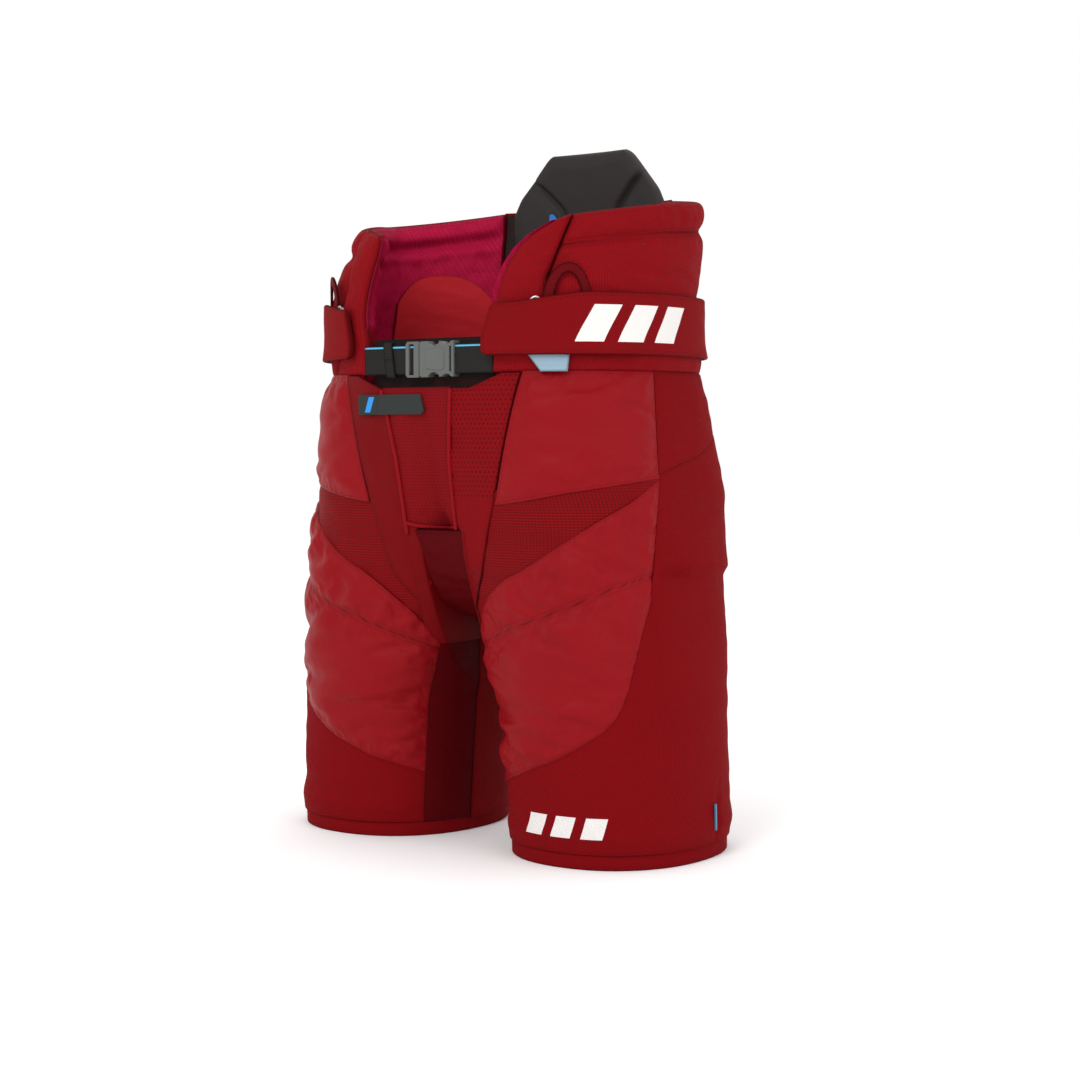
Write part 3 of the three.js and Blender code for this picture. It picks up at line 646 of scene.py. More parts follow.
def tube(name, path, radius, material, ring=8):
    """A round cord along a path of points."""
    tangent = np.gradient(path, axis=0)
    tangent /= np.linalg.norm(tangent, axis=1)[:, None]
    out = path - np.array([0, 0, 1]) * path[:, 2:3] - np.array([np.mean(path[:, 0]) * 0.6, 0, 0])
    out -= tangent * np.sum(out * tangent, axis=1)[:, None]
    out /= np.linalg.norm(out, axis=1)[:, None]
    beside = np.cross(tangent, out)
    angles = np.linspace(0, math.tau, ring, endpoint=False)
    points = np.concatenate([path + radius * (np.cos(a) * out + np.sin(a) * beside) for a in angles])
    count = len(path)
    faces = []
    for k in range(ring):
        here, beyond = k * count, (k + 1) % ring * count
        faces += [(here + i, beyond + i, beyond + i + 1, here + i + 1) for i in range(count - 1)]
    faces.append([k * count for k in range(ring)][::-1])
    faces.append([k * count + count - 1 for k in range(ring)])
    run = np.concatenate([[0], np.cumsum(np.linalg.norm(np.diff(path, axis=0), axis=1))])
    uv = np.concatenate([np.stack([run, np.full(count, a * radius)], axis=-1) for a in angles])
    return make_mesh(name, points, faces, material, uv, {"edge": FAR, "along": 0.0})


def apply_modifiers(obj):
    graph = bpy.context.evaluated_depsgraph_get()
    mesh = bpy.data.meshes.new_from_object(obj.evaluated_get(graph))
    obj.modifiers.clear()
    obj.data = mesh


def prism(name, outline, y_front, y_back):
    """A plate with square edges."""
    bm = bmesh.new()
    face = bm.faces.new([bm.verts.new((x * MM, y_front * MM, z * MM)) for x, z in outline])
    moved = bmesh.ops.extrude_face_region(bm, geom=[face])["geom"]
    for v in moved:
        if isinstance(v, bmesh.types.BMVert):
            v.co.y = y_back * MM
    bmesh.ops.recalc_face_normals(bm, faces=bm.faces)
    mesh = bpy.data.meshes.new(name)
    bm.to_mesh(mesh)
    bm.free()
    return add_object(name, mesh)


def extruded(name, outline, y_front, y_back, bevel, material, holes=()):
    """A plate with an outline in X and Z, rounded at its edges. holes are outlines cut right through."""
    obj = prism(name, outline, y_front, y_back)
    for hole in holes:
        cutter = prism(name + "_hole", hole, y_front - 5, y_back + 5)
        cut = obj.modifiers.new("cut", "BOOLEAN")
        cut.object = cutter
        cut.solver = "EXACT"
        apply_modifiers(obj)
        bpy.data.objects.remove(cutter)
    round_over = obj.modifiers.new("round", "BEVEL")
    round_over.width = bevel * MM
    round_over.segments = 3
    round_over.limit_method = "ANGLE"
    round_over.angle_limit = math.radians(38)
    apply_modifiers(obj)
    mesh = obj.data
    mesh.materials.clear()
    mesh.materials.append(material)
    smooth_faces(mesh)
    mesh.set_sharp_from_angle(angle=math.radians(35))
    x, y, z = np.array([v.co for v in mesh.vertices]).T / MM
    set_uv(mesh, np.stack([x + y * 0.3, z], axis=-1))  # a little Y, so that the end faces have a pattern too
    set_attributes(mesh, {"edge": FAR, "along": 0.0, "printed": 1.0})
    return obj


def disc(name, side, z, turn, lift, profile, material, count=28):
    """A turned piece standing on the surface. profile is rows of (radius, height above the surface)."""
    here = skin(np.array(z), np.array(turn))
    ahead = skin(np.array(z), np.array(turn + 1.0)) - skin(np.array(z), np.array(turn - 1.0))
    ahead /= np.linalg.norm(ahead)
    out = np.array([ahead[1], -ahead[0], 0])
    up = np.array([0, 0, 1.0])
    angles = np.linspace(0, math.tau, count, endpoint=False)
    points = [here + out * (lift + h) + r * (math.cos(a) * ahead + math.sin(a) * up)
              for r, h in profile for a in angles]
    rows = len(profile)
    faces = [(j * count + i, j * count + (i + 1) % count, (j + 1) * count + (i + 1) % count, (j + 1) * count + i)
             for j in range(rows - 1) for i in range(count)]
    faces.append(list(range(count))[::-1])
    faces.append([(rows - 1) * count + i for i in range(count)])
    points, faces = mirrored(np.array(points), faces, side)
    return make_mesh(name, points, faces, material)


# ---- how a piece is attached or baked, and the parts that it hides ----
SIDES = (("left", 1), ("right", -1))
SIMULATED = []
BLENDED_PADS = []
SIDE_BLEND = ((0, -0.030, 0.317), (0, -0.056, 0.243))  # for the leg shell, along the side seam
CROTCH_BLEND = ((0, 0, 0.245), (0, 0, 0.165))
WEDGE_BLEND = ((0, 0, 0.300), (0, 0, 0.222))


def finish_piece(obj, body, slot, *nodes):
    """A piece that rides one body."""
    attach(obj, body)
    if nodes:
        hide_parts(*nodes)
    return obj


def blend_piece(obj, leg, heights, slot, *nodes):
    """A piece with its place baked into its mesh, hiding the parts named by nodes. heights are not used."""
    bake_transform(obj)
    if nodes:
        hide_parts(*nodes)


def stuffed(obj, cap, slack):
    """A padded piece with a cloth simulation. cap is how far a point may move, slack how much larger its cloth is cut
    than the space it fills."""
    SIMULATED.append((obj, cap, slack))


# ---- cloth simulation ----
FRAMES = 20
PINNED = 7.0  # from a seam, the cloth is held over about this distance


def add_cloth(obj, slack):
    """Cloth that is blown up against its seams, and held at them and on the side against the body."""
    mesh = obj.data
    count = len(mesh.vertices)
    edge = np.empty(count, np.float32)
    mesh.attributes["edge"].data.foreach_get("value", edge)
    held = np.clip(1.25 - edge / PINNED, 0, 1)
    held[count // 2:] = 1.0
    group = obj.vertex_groups.new(name="sewn")
    for index, weight in enumerate(held.tolist()):
        if weight > 0:
            group.add([index], weight, "REPLACE")
    cloth = obj.modifiers.new("cloth", "CLOTH")
    settings = cloth.settings
    settings.quality = 5
    settings.mass = 0.2
    settings.tension_stiffness = 12
    settings.compression_stiffness = 12
    settings.shear_stiffness = 5
    settings.bending_stiffness = 0.25
    settings.shrink_min = -slack
    settings.vertex_group_mass = "sewn"
    settings.use_pressure = True
    settings.uniform_pressure_force = 4
    settings.effector_weights.gravity = 0
    cloth.collision_settings.use_collision = False
    cloth.point_cache.frame_start = 1
    cloth.point_cache.frame_end = FRAMES


def positions(mesh):
    co = np.empty(len(mesh.vertices) * 3, np.float32)
    mesh.vertices.foreach_get("co", co)
    return co.reshape(-1, 3)


def simulate_padding():
    """Blows each pad up against its seams, which stay where they are, so that the loose cloth crumples."""
    scene = bpy.context.scene
    for obj, cap, slack in SIMULATED:
        add_cloth(obj, slack)
    starts = [positions(obj.data) for obj, cap, slack in SIMULATED]
    for frame_number in range(1, FRAMES + 1):
        scene.frame_set(frame_number)
    for (obj, cap, slack), start in zip(SIMULATED, starts):
        graph = bpy.context.evaluated_depsgraph_get()
        shift = positions(obj.evaluated_get(graph).data) - start
        size = np.linalg.norm(shift, axis=1, keepdims=True) / MM
        shift *= np.where(size > 0.01, cap * np.tanh(size / cap) / np.maximum(size, 0.01), 1.0)
        obj.modifiers.clear()
        obj.vertex_groups.clear()
        obj.data.vertices.foreach_set("co", (start + shift).ravel())
        finer = obj.modifiers.new("finer", "SUBSURF")
        finer.levels = 1
        apply_modifiers(obj)
    scene.frame_set(1)


# ---- folds and puff ----
def folds(amount, size, seed, flatness=2.6):
    """Sideways folds, as in loose cloth over foam."""
    def lift(points, S, T):
        wide = fractal(points, size, 3, (1 / flatness, 1 / flatness, 1.0), seed)
        fine = fractal(points, size * 0.35, 2, (0.5, 0.5, 1.0), seed + 7)
        return amount * (wide + 0.3 * fine)
    return lift


def dome(S, T):
    return (1 - (2 * S - 1) ** 4) * (1 - (2 * T - 1) ** 4)


def puffed(crown, amount, size, seed, flatness=2.6):
    """Folds on a crowned pad."""
    wrinkle = folds(amount, size, seed, flatness)
    return lambda points, S, T: crown * dome(S, T) + wrinkle(points, S, T)


def creased(crown, amount, size, seed):
    """A padded front with sharp slanting creases, deepest near the inner seam, as loose nylon has over foam."""
    wrinkle = folds(amount * 0.6, size, seed, 2.4)
    slant = np.array([[1.0, 0, 0.25], [0, 1.0, 0], [-0.35, 0, 1.0]])

    def lift(points, S, T):
        ridge = 1 - np.abs(fractal(points @ slant, size * 0.8, 2, (0.32, 0.32, 1.0), seed + 3)) * 2.2
        return crown * dome(S, T) + wrinkle(points, S, T) + amount * 0.9 * ridge * (1.25 - S)
    return lift


def turn_of(points):
    """The turn of points on the surface, from just past the inner side, round the front, to the rear."""
    x, y, z = points[..., 0], points[..., 1] - SHIFT_Y, points[..., 2]
    cx, cy, a, b, n = section(z)
    turn = np.degrees(np.arctan2(signed_power((y - cy) / b, n / 2), signed_power((x - cx) / a, n / 2)))
    return np.where(turn > 147, turn - 360, turn)


def across_thigh(points, S, T):
    """Distance to the second seam across the thigh pad."""
    turn = turn_of(points)
    return np.where(turn < -20, points[..., 2] - second_seam(turn), FAR)


ROLL = 25.0  # height of the roll along the top edge


def under_roll(points, S, T):
    return points[:, -1:, 2] - points[..., 2] - ROLL


def lining_rolls(points, S, T):
    """Inwards: two soft rolls, one along the top edge and one along the front rim, and a cushion between them."""
    below_top = points[:, -1:, 2] - points[..., 2]
    run = np.concatenate([[0], np.cumsum(np.linalg.norm(np.diff(points[:, points.shape[1] // 2], axis=0), axis=1))])
    from_rim = run[:, None] + 0 * below_top
    roll = np.minimum(np.abs(below_top - ROLL + 3), np.where(below_top > ROLL - 3, np.abs(from_rim - 21), FAR))
    soft = 1 - np.exp(-(roll / 6.5) ** 2)
    lower = np.clip((below_top - ROLL) / 12, 0, 1) * np.clip((from_rim - 24) / 8, 0, 1)
    return (7.5 - 3.5 * lower) * soft + folds(1.2, 26, 61.0, 0.7)(points, S, T) * soft


def lean_in(points, most=52.0):
    """The right wing has fallen inwards at its top front, by this much where it leans most."""
    high = np.clip((points[..., 2] - 452) / 100, 0, 1)
    forward = np.clip((20 - points[..., 1]) / 110, 0, 1)
    moved = points.copy()
    moved[..., 0] -= most * high ** 1.6 * forward ** 0.8
    return moved


# ---- legs: left and right ----
def thigh_pad(word, side, leg, seed):
    pad = turn_panel(
        "thigh_pad_" + word, side, -143.0, lambda z: side_seam(z) + 0.4, lambda t: pad_edge(t) - 0.8, wedge_foot,
        thick=PAD, radius=2.8, material=NYLON, limit=INNER_GAP, lift=creased(3.0, 3.2, 40, seed),
        grooves=across_thigh, step=PAD_GRID)
    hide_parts("thigh_pad_" + word)
    BLENDED_PADS.append((pad, leg))
    stuffed(pad, 6.0, 0.085)


def inner_leg(word, side, leg, seed):
    strip = turn_panel(
        "inner_strip_" + word, side, -172.0, -140.5, HEM_TOP - 6, 174.0, depth=0.7, radius=1.6, material=SHADED_NYLON,
        limit=INNER_GAP, lift=folds(1.2, 36, seed + 2), step=GRID * 1.3)
    blend_piece(strip, leg, CROTCH_BLEND, "nylon", "inner_strip_" + word)
    inner = turn_panel(
        "inner_leg_panel_" + word, side, 146.0, 187.8, HEM_TOP - 8, 186.0, radius=1.6, material=KNIT,
        limit=INNER_GAP, lift=folds(1.2, 36, seed + 4), step=GRID * 1.5)
    blend_piece(inner, leg, CROTCH_BLEND, "knit", "inner_leg_panel_" + word)


def shell_lift(seed):
    """Folds, a sharp loose fold under the seat, cloth standing out over the hem, and a slit at the side."""
    def lift(points, S, T):
        turn = turn_of(points)
        z = points[..., 2]
        fold = 238 - 7 * np.clip((turn - 20) / 70, -0.4, 1)
        above = soft_step((z - fold) / 1.8)
        overhang = above * 4.2 * np.exp(-np.abs(z - fold) / 15) - (1 - above) * 2.2 * np.exp(-np.abs(z - fold) / 8)
        overhang *= np.clip((turn + 26) / 24, 0, 1)
        over_hem = 1.8 * np.exp(-((z - 26) / 9) ** 2)
        slit = -2.6 * np.exp(-((turn - 9 - (z - 40) / 14) / 2.4) ** 2) * np.clip((68 - z) / 30, 0, 1)
        return folds(1.6, 60, seed, 2.2)(points, S, T) + overhang + over_hem + slit
    return lift


def leg_shell(word, side, leg, seed):
    """One knit piece from the inner front seam, under the thigh pad, up to the yoke and round the back."""
    shell = turn_panel(
        "leg_shell_" + word, side, -143.0, lambda z: np.minimum(rear_centre(z), 146.0), HEM_TOP - 6,
        lambda t: shell_edge(t) + 1.8, depth=0.3, limit=SEAM_SINK, lift=shell_lift(seed + 5), step=GRID * 1.25,
        material=KNIT_MARKED if side > 0 else KNIT)
    nodes = [name + word for name in ("seat_panel_", "rear_leg_panel_", "lower_panel_")]
    blend_piece(shell, leg, SIDE_BLEND, "knit", *nodes)


def groin(word, side, leg, fly_edge):
    """The front panel carries on below the fly as smooth cloth, round the inner side of the leg."""
    def fly_turn(z, past):
        return turn_at(np.maximum(fly_edge(z), 26) + past, z, -1)

    foot = 172.0
    cloth = turn_panel(
        "groin_" + word, side, -180.0, lambda z: fly_turn(z, 2.0),
        lambda t: np.where(t < -150, foot, np.maximum(wedge_foot(t) - 14, foot)), 276.5, depth=0.1, thick=2.8,
        radius=0.8, material=SMOOTH, limit=INNER_GAP, round_edges=NO_EDGES)
    blend_piece(cloth, leg, CROTCH_BLEND, "nylon")
    front_foot = turn_panel(
        "front_foot_" + word, side, lambda z: fly_turn(z, 1.0), lambda z: np.maximum(front_seam(z), fly_turn(z, 2.0)),
        lambda t: wedge_foot(t) - 6, 242.0, thick=2.6, radius=1.0, material=SMOOTH,
        round_edges=(False, True, False, False))
    blend_piece(front_foot, leg, CROTCH_BLEND, "nylon")


def hem_and_plate(word, side, leg, seed):
    """A narrow nylon band, a little inside the shell, and the plate behind the thigh pad."""
    hem = turn_panel(
        "hem_band_" + word, side, -180.0, 180.0, 0.0, HEM_TOP + 3, depth=2.2, radius=1.5, material=KNIT,
        lift=folds(0.8, 30, seed + 6), round_edges=LONG_EDGES)
    finish_piece(hem, leg, "knit", "hem_band_" + word)
    plate = turn_panel(
        "thigh_plate_" + word, side, -128.0, -52.0, lambda t: pad_edge(t) + 14, lambda t: pad_edge(t) + 95,
        depth=PAD + 1.2, thick=2.2, radius=1.0, material=PLATE, step=6)
    finish_piece(plate, leg, "white_plastic", "thigh_plate_" + word)


def stretch_wedge(word, side, leg, seed):
    wedge = turn_panel(
        "stretch_wedge_" + word, side, -136.0 if side > 0 else -130.0, -12.0, lambda t: wedge_foot(t) - 12,
        lambda t: waist_edge(t) + 12, depth=1.6, thick=1.8, radius=0.8, material=MESH,
        lift=folds(0.9, 30, seed + 8, 3.0), round_edges=NO_EDGES)
    blend_piece(wedge, leg, WEDGE_BLEND, "mesh", "hip_stretch_" + word)


# ---- waist: left and right ----
def hip_panels(word, side, fly_edge, seed):
    hip = turn_panel(
        "hip_panel_" + word, side, front_seam, lambda z: side_seam(z) + 0.3, lambda t: waist_edge(t) - 0.8,
        SHELL_TOP + 2, thick=PAD, radius=2.4, material=NYLON, lift=puffed(2.0, 1.8, 40, seed + 9), step=PAD_GRID)
    finish_piece(hip, "waist", "nylon", "hip_panel_" + word)
    stuffed(hip, 4.0, 0.06)
    front = turn_panel(
        "front_panel_" + word, side, lambda z: turn_at(fly_edge(z) + 0.4, z, -1), lambda z: front_seam(z) - 0.2,
        240.0, lambda t: SHELL_TOP - 12 * np.clip((-70 - t) / 14, 0, 1), radius=1.4,
        material=PERFORATED if side > 0 else SMOOTH, round_edges=(False, True, False, True),
        lift=folds(1.3, 34, seed + 10, 1.6))
    finish_piece(front, "waist", "knit", "front_panel_" + word)
    yoke = turn_panel(
        "yoke_panel_" + word, side, lambda z: side_seam(z) - 0.3, rear_centre, yoke_seam, SHELL_TOP + 2,
        material=KNIT, lift=folds(1.4, 44, seed + 12), step=GRID * 1.3)
    finish_piece(yoke, "waist", "knit", "yoke_panel_" + word)


def high_waist(word, side, seed):
    """Wing, kidney pad with a rolled top edge, and lining. The right wing leans in towards its front."""
    lean, rim = (lean_in, leaning_rim) if side < 0 else (None, wing_rim)
    wing = turn_panel(
        "wing_" + word, side, rim, lambda z: wing_split(z) - 0.15, SHELL_TOP - 1, top_edge, thick=WING, radius=5.6,
        material=WING_KNIT, lift=puffed(2.0, 1.0, 40, seed + 14), shift=lean, step=PAD_GRID)
    finish_piece(wing, "waist", "knit", "wing_" + word)
    stuffed(wing, 2.0, 0.02)

    kidney = turn_panel(
        "kidney_pad_" + word, side, wing_split, lambda z: back_seam(z) - 0.15, SHELL_TOP - 1, top_edge, thick=WING,
        radius=5.6, material=WING_KNIT, lift=puffed(2.6, 1.5, 46, seed + 15), grooves=under_roll, groove_depth=3.4,
        shift=lean, step=PAD_GRID)
    finish_piece(kidney, "waist", "knit", "kidney_pad_" + word)
    stuffed(kidney, 3.0, 0.03)

    outside, inside = 1.6, WING - 2.5  # depths: it starts on the rim's face and runs back inside the pads
    lining = turn_panel(
        "lining_" + word, side, lambda z: rim(z) + lining_start(z), lambda z: back_seam(z) - 0.6, SHELL_TOP - 4,
        lambda t: top_edge(t) - 1.5, depth=lambda S: outside + (inside - outside) * np.sqrt(np.clip(S / 0.1, 0, 1)),
        radius=1.9, material=LINING, underside=lining_rolls, shift=lean, step=GRID * 1.1)
    finish_piece(lining, "waist", "lining", "lining_" + word)

    hip_plate = turn_panel(
        "hip_plate_" + word, side, -58.0, 12.0, 332.0, 396.0, depth=PAD + 1.6, thick=2.2, radius=1.0,
        material=PLATE, step=6)
    finish_piece(hip_plate, "waist", "white_plastic", "hip_plate_" + word)


def wrap_band(word, side, seed):
    """A stiff padded strap with a slanted end, standing off the body towards that free end."""
    free_end = -68.5 if side > 0 else -63.0
    sewn_end = 57.0
    thick = 5.0

    def place(S, T, depth):
        front = free_end - 4.5 * (1 - T)
        turn = front + (sewn_end - front) * S
        gap = 1.8 + 3.7 * ease((60 - turn) / 45)
        corner = 2.5 * np.clip((front + 2.0 - turn) / 2.0, 0, 1) ** 2.2
        height = BAND_HEIGHT - BAND_HEIGHT / 6 * ease((-turn - 35) / 32)
        z = BAND_Z - BAND_HEIGHT / 2 + corner + (height - 2 * corner) * T
        return skin(z, turn, depth - gap - thick)

    band = slab("wrap_band_" + word, side, place, 330.0, BAND_HEIGHT - 1, thick, 2.2, BAND_KNIT,
                lift=folds(0.5, 50, seed + 17))
    finish_piece(band, "wrap_band_" + word, "knit", "wrap_band_" + word)


def loop_and_buttons(word, side):
    foot, turn, width = 456.0, -43.5, 8.0

    def place(S, T, depth):
        angle = math.pi * (1 - S)
        out = width * (T - 0.5)
        return skin(foot + (32 + out) * np.sin(angle), turn + (15 + out) * np.cos(angle) / 2.15, depth - 4.8)

    loop = slab("hang_loop_" + word, side, place, 90.0, width, 2.2, 0.9, RED_WEBBING, step=1.6)
    finish_piece(loop, "waist", "webbing", "hang_loop_" + word)
    spool = [(4.0, 0), (4.0, 0.8), (2.2, 1.1), (2.2, 2.1), (5.0, 2.3), (5.4, 2.8), (5.0, 3.4), (3.4, 3.6), (3.1, 3.1),
             (0.6, 3.1)]
    button = disc("front_button_" + word, side, foot + 4, -54.0, 2.3, spool, METAL)
    finish_piece(button, "waist", "metal", "front_button_" + word)
    cap = [(4.0, 0), (5.2, 0.4), (5.4, 1.4), (4.8, 2.6), (3.0, 3.3), (0.5, 3.5)]
    # Its white cap is a painted highlight of a metal button.
    snap = disc("side_button_" + word, side, foot + 5, -32.0, 2.6, cap, HIGHLIGHT_CAP)
    finish_piece(snap, "waist", "white_plastic", "side_button_" + word)


def fly_piping(word, side, fly_edge):
    heights = np.linspace(268, 391, 40)
    path = across(side * fly_edge(heights), heights, -1, -0.6)
    finish_piece(tube("fly_piping_" + word, path, 1.7, BINDING), "waist", "knit")


for word, side in SIDES:
    leg = "leg_" + word
    seed = 3.0 if side > 0 else 11.0  # so that the two sides crumple differently
    fly_edge = fly_left if side > 0 else fly_right
    thigh_pad(word, side, leg, seed)
    inner_leg(word, side, leg, seed)
    leg_shell(word, side, leg, seed)
    groin(word, side, leg, fly_edge)
    hem_and_plate(word, side, leg, seed)
    stretch_wedge(word, side, leg, seed)
    hip_panels(word, side, fly_edge, seed)
    high_waist(word, side, seed)
    wrap_band(word, side, seed)
    loop_and_buttons(word, side)
    fly_piping(word, side, fly_edge)

# ---- middle pieces ----
def fly():
    panel = centre_panel(
        "fly_panel", lambda z: (fly_left(z) + fly_right(z)) / 2 - 0.3, 275.0, 393.0, -1, radius=1.6,
        material=FLY_MESH, lift=puffed(2.6, 1.0, 34, 21.0, 1.4), middle=lambda z: (fly_left(z) - fly_right(z)) / 2)
    finish_piece(panel, "waist", "knit", "fly_panel")
    crosswise = np.linspace(-32, 18, 30)
    foot = across(crosswise, 274 + 0.004 * crosswise ** 2, -1, -0.8)
    finish_piece(tube("fly_foot_piping", foot, 1.6, BINDING), "waist", "knit")


def crotch_gusset():
    """Cloth that runs from the fly down between the legs and up again behind: y and z along its middle."""
    path = np.array([(-101, 277), (-95, 255), (-86, 232), (-72, 211), (-47, 195), (-10, 188), (32, 190), (62, 205),
                     (78, 228), (86, 250)], float)
    softened = [np.convolve(np.pad(column, 1, mode="edge"), [0.2, 0.6, 0.2], "valid") for column in path.T]
    half = table([[0, 33], [0.2, 31], [0.5, 26], [1, 23]])

    def place(S, T, depth):
        where = T * (len(path) - 1)
        y, z = (np.interp(where, np.arange(len(path)), column) for column in softened)
        towards = np.stack([0 * y, -y, 300 - z], axis=-1)  # depth goes up into the pants
        towards /= np.linalg.norm(towards, axis=-1)[..., None]
        base = np.stack([(1 - 2 * S) * half(T), y + SHIFT_Y, z], axis=-1)
        return base + towards * np.asarray(depth)[..., None]

    gusset = slab("crotch_gusset", 1, place, 50.0, 220.0, CLOTH, 1.5, SHADED_NYLON, lift=folds(1.6, 26, 31.0, 1.2))
    gusset.data.flip_normals()
    finish_piece(gusset, "waist", "nylon", "crotch_gusset")


def back():
    thick = 5.0
    panel = centre_panel("back_panel", BACK_HALF - 0.3, SHELL_TOP - 1, 563.0, 1, thick=thick, radius=2.2,
                         material=KNIT, lift=folds(1.4, 50, 41.0))
    finish_piece(panel, "waist", "mesh", "back_panel")
    facing = centre_panel("back_facing", BACK_HALF - 4, 410.0, 560.0, 1, depth=thick, thick=2.0, radius=0.8,
                          material=BACK_MESH, step=4)
    finish_piece(facing, "waist", "mesh")
    tail = centre_panel("tailbone_pad", 42.0, 318.0, 452.0, 1, depth=4.4, thick=9.0, radius=3.5, material=FOAM,
                        step=5)
    finish_piece(tail, "waist", "foam", "tailbone_pad")


def spine_guard():
    """Moulded foam: a raised middle between two creases, with a blue insert beside each crease."""
    half = rounded([[470, 60], [505, 77], [540, 85], [558, 85], [574, 77], [590, 63], [602, 53], [611, 45],
                    [616, 33]], 5)
    crease = rounded([[470, 20], [545, 25], [562, 31], [578, 46], [594, 64], [616, 76]], 8)
    middle = table([[530, 5.0], [560, 5.0], [613, 0.5]])
    depth, thick, raised = 3.6, 11.0, 3.4

    def inner_side(points, S, T):
        z = points[..., 2]
        past_crease = np.abs(points[..., 0] - middle(z)) - crease(z)
        groove = -3.4 * np.exp(-((past_crease - 1.5) / 3.0) ** 2)
        lobes = 3.2 * np.sin(np.clip((z - 495) / 90, 0, 1) * math.pi) * np.clip(past_crease / 18, 0, 1)
        return raised * soft_step(-past_crease / 1.4) + groove + lobes

    guard = centre_panel("spine_guard", half, 470.0, 613.0, 1, depth=depth, thick=thick, radius=4.6, material=FOAM,
                         underside=inner_side, step=GRID * 0.8, middle=middle)
    finish_piece(guard, "spine_guard", "foam", "spine_guard")

    foot, width, height = 532.0, 11.0, 26.0
    for word, side in SIDES:
        def place(S, T, more_depth, side=side):
            z = foot + height * T
            leaf = width / 2 * np.sin(math.pi * (0.08 + 0.84 * T)) ** 0.8
            x = crease(z) + 3 + middle(z) * side + (2 * S - 1) * leaf
            return across(x, z, 1, depth + thick + 4.6 - more_depth)
        insert = slab("guard_insert_" + word, -side, place, width, height, 2.0, 0.8, BLUE, step=1.5)
        finish_piece(insert, "spine_guard", "foam")


def patch_and_tags():
    patch = turn_panel("inner_patch_right", -1, lambda z: 2 + (z - 420) / 12, 56.0, 425.0,
                       lambda t: 503 - np.abs((t - 32) / 26) ** 2.6 * 30, depth=WING + 5.6, thick=2.6, radius=1.0,
                       material=PATCH, underside=folds(0.8, 30, 51.0))
    finish_piece(patch, "waist", "nylon", "inner_patch_right")
    tag = turn_panel("fit_tag_left", 1, lambda z: -58.5 + (417 - z) / 6, lambda z: -44.5 - (417 - z) / 6, SHELL_TOP,
                     419.0, depth=-5.2, thick=1.2, radius=0.5, material=TAG, step=2)
    finish_piece(tag, "waist", "tag", "fit_tag_left")
    side_tag = turn_panel("hem_tag_left", 1, 4.0, 5.4, 24.0, 46.0, depth=-2.8, thick=1.4, radius=0.5,
                          material=HEM_TAG, step=2)
    finish_piece(side_tag, "leg_left", "tag")


# ---- belt, buckle, keeper, tongue ----
STRAP_Y = -112.2 + SHIFT_Y
CATCH_Y = STRAP_Y + 3
FRONT_Y = STRAP_Y - 2.8
REAR_Y = CATCH_Y + 3.2
STRAP = 1.6  # thickness of the webbing
CATCH = 3.0  # thickness of what goes into the socket


def belt():
    low = BELT_Z - WEBBING / 2
    for word, x0, x1 in (("left", 29.0, 70.0), ("right", -70.0, -9.0)):
        def place(S, T, depth, x0=x0, x1=x1):
            x = x0 + (x1 - x0) * S
            return np.stack([x, STRAP_Y - STRAP / 2 + np.asarray(depth) + 0 * x, low + WEBBING * T], axis=-1)
        webbing = slab("belt_" + word, 1, place, x1 - x0, WEBBING, STRAP, 0.6, BELT, step=2.0)
        finish_piece(webbing, "waist", "webbing", "belt_" + word)


def front_tongue():
    """Black mesh behind the belt, with a curved lower edge."""
    half, top = 66.0, 434.0

    def place(S, T, depth):
        x = (2 * S - 1) * half
        low = 384 + 12 * np.abs(2 * S - 0.9) ** 2.2
        return np.stack([x, REAR_Y + 0.4 + np.asarray(depth) + 0 * x, low + (top - low) * T], axis=-1)

    piece = slab("front_tongue", 1, place, 2 * half, 46.0, 2.6, 1.0, BLACK_MESH, step=2.4)
    finish_piece(piece, "waist", "webbing", "front_tongue")


def on_belt(rows):
    """An outline from rows of (x, height above the belt's middle)."""
    return [(x, BELT_Z + h) for x, h in rows]


def both_ways(upper):
    """The upper half of an outline and its mirror image below."""
    return on_belt(upper + [(x, -h) for x, h in reversed(upper)])


def rectangle(x0, x1, half):
    return on_belt([(x0, -half), (x1, -half), (x1, half), (x0, half)])


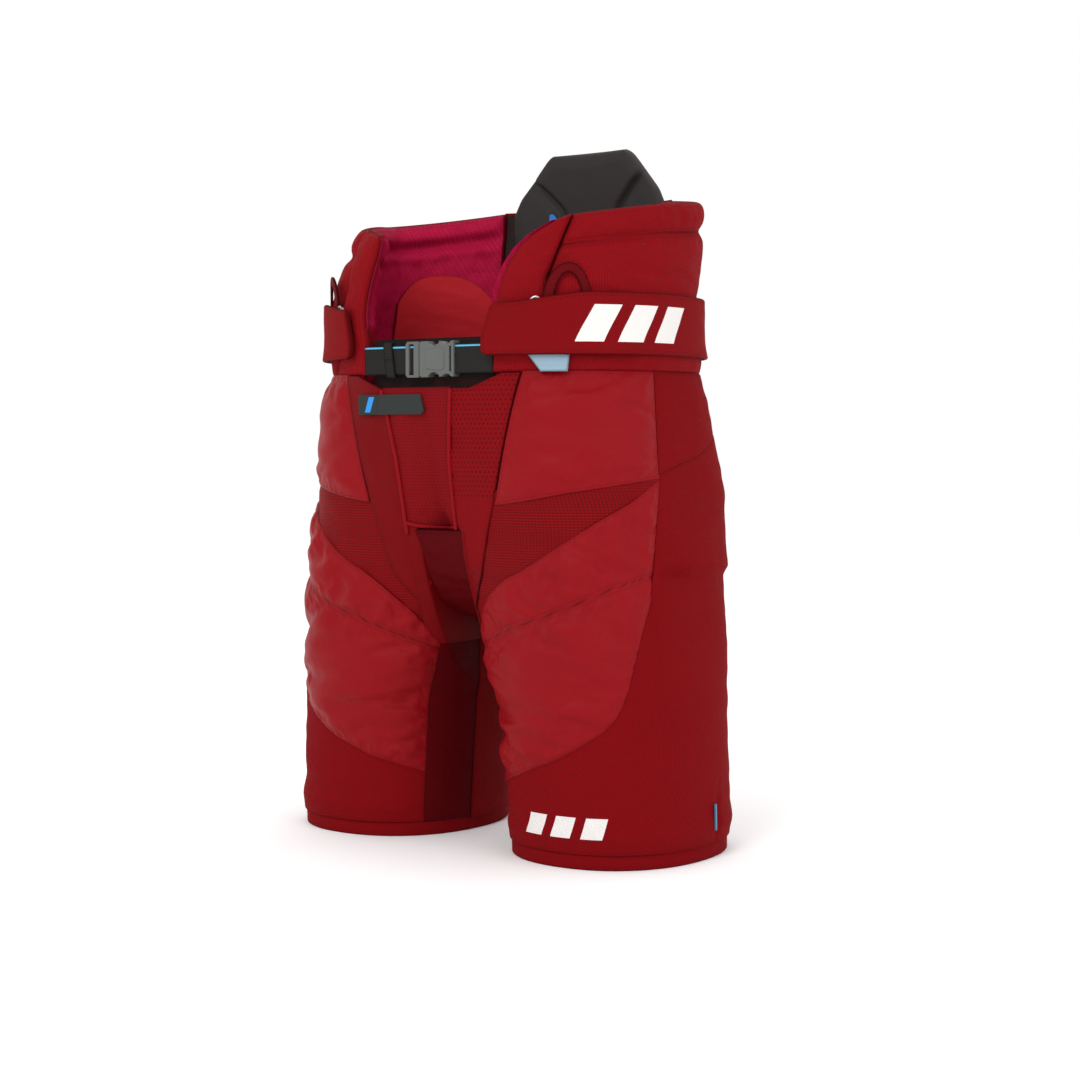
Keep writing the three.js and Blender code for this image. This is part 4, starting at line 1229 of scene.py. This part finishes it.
def buckle():
    half = 15.0
    arch = [(8.5 - 6 * math.cos(a), half - 4.2 * math.sin(a)) for a in np.linspace(0, math.pi, 9)[1:-1]]
    outline = [(-7, half - 1.5), (-5, half), (2.5, half)] + arch
    outline += [(14.5, half), (17, half - 0.4), (20.5, half - 2.6), (24.5, half - 2.6), (27, half - 0.3), (30, half)]
    socket = extruded("buckle_socket", both_ways(outline), FRONT_Y, REAR_Y, 1.3, PLASTIC,
                      holes=[rectangle(25.2, 27.4, 10.6)])
    finish_piece(socket, "waist", "buckle_plastic", "buckle_socket")
    raised = on_belt([(0, -8), (16, -9.5), (20, -8), (20, 8), (16, 9.5), (0, 8)])
    finish_piece(extruded("buckle_socket_face", raised, FRONT_Y - 0.7, FRONT_Y + 1, 0.6, PLASTIC), "waist",
                 "buckle_plastic")

    root = -7.6
    ring = on_belt([(-22, -13), (-20, -half), (root, -half), (root, half), (-20, half), (-22, 13)])
    plug = extruded("buckle_plug", ring, FRONT_Y, REAR_Y - 0.4, 1.2, PLASTIC, holes=[rectangle(-18.6, -13.2, 12.9)])
    finish_piece(plug, "buckle_plug", "buckle_plastic", "buckle_plug")
    reach = (CATCH_Y - CATCH / 2, CATCH_Y + CATCH / 2)
    bar = extruded("buckle_plug_tongue", rectangle(-9, 10, 3), *reach, 0.5, PLASTIC)
    finish_piece(bar, "buckle_plug", "buckle_plastic")
    for word, way in (("upper", 1), ("lower", -1)):
        side = [(root, 6.6), (11, 6.6), (12.5, 9), (12, 11.6), (8.5, 13.0), (4.5, 11.6), (root, 10.6)]
        outline = on_belt([(x, way * h) for x, h in side][::way])
        prong = extruded("buckle_prong_" + word, outline, *reach, 0.6, PLASTIC)
        finish_piece(prong, "prong_" + word, "buckle_plastic", "buckle_prong_" + word)


def keeper_loop():
    """A slanted loop of webbing round the belt."""
    width, middle = 10.0, -46.0

    def place(S, T, depth):
        angle = S * math.tau
        y = signed_power(-np.cos(angle), 0.6)
        z = signed_power(np.sin(angle), 0.28)
        out = 2.6 - np.asarray(depth)
        x = middle + width * T - 1.96 * z
        return np.stack([x, STRAP_Y + y * out, BELT_Z + z * (12.2 + out)], axis=-1)

    keeper = slab("keeper_loop", 1, place, 60.0, width, 1.3, 0.5, BLACK_WEBBING, round_edges=LONG_EDGES, step=1.0)
    keeper.data.flip_normals()
    finish_piece(keeper, "buckle_plug", "webbing", "keeper_loop")


def fly_tab():
    """The tab and the tape that it closes on, joined at a hinge line."""
    hinge, low, high = -50.0, 370.0, 387.0
    y = float(across(np.array(hinge), np.array(high), -1)[1]) - 1.6
    tape = [(-72, low), (hinge, low), (hinge, high), (-72, high)]
    finish_piece(extruded("tab_base", tape, y - 1.0, y + 1.0, 0.5, TAB_BASE), "waist", "tab", "tab_base")
    flap = [(hinge, low), (-2, low), (1, low + 3), (-3, high), (hinge, high)]
    finish_piece(extruded("fly_tab", flap, y - 1.1, y + 0.9, 0.5, TAB), "fly_tab", "tab", "fly_tab")


for make in (fly, crotch_gusset, back, spine_guard, patch_and_tags, belt, front_tongue, buckle, keeper_loop,
             fly_tab):
    make()
simulate_padding()
for pad, leg in BLENDED_PADS:
    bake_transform(pad)


# ---- floor, light, camera: in metres ----
def studio_floor(half):
    mesh = bpy.data.meshes.new("floor")
    mesh.from_pydata([(-half, -half, 0), (half, -half, 0), (half, half, 0), (-half, half, 0)], [], [(0, 1, 2, 3)])
    look = Nodes("floor_look")
    look.shader.inputs["Base Color"].default_value = (1, 1, 1, 1)
    look.shader.inputs["Roughness"].default_value = 0.9
    mesh.materials.append(look.material)
    add_object("floor", mesh)


def aimed(name, data, place, target):
    """An object at a place that looks at a target."""
    obj = add_object(name, data)
    obj.location = place
    obj.rotation_euler = (Vector(target) - Vector(place)).to_track_quat("-Z", "Y").to_euler()
    return obj


def area_light(name, place, size, power):
    data = bpy.data.lights.new(name, "AREA")
    data.shape = "DISK"
    data.size = size
    data.energy = power
    aimed(name, data, place, (0, 0, 0.3))


scene = bpy.context.scene
studio_floor(6)
world = bpy.data.worlds.new("studio")
world.use_nodes = True
world.node_tree.nodes["Background"].inputs["Color"].default_value = (1, 1, 1, 1)
world.node_tree.nodes["Background"].inputs["Strength"].default_value = 1.0
scene.world = world
area_light("key", (0.4, -2.2, 2.0), 1.2, 22)
area_light("side", (2.4, -0.4, 1.2), 1.4, 9)
area_light("top", (-0.3, 0.6, 2.4), 1.6, 8)

camera_data = bpy.data.cameras.new("camera")
camera_data.lens = 67.1
camera_data.sensor_width = 36
scene.camera = aimed("camera", camera_data, (1.092, -1.411, 0.353), (0.021, 0.0098, 0.260))
scene.view_settings.view_transform = "Standard"
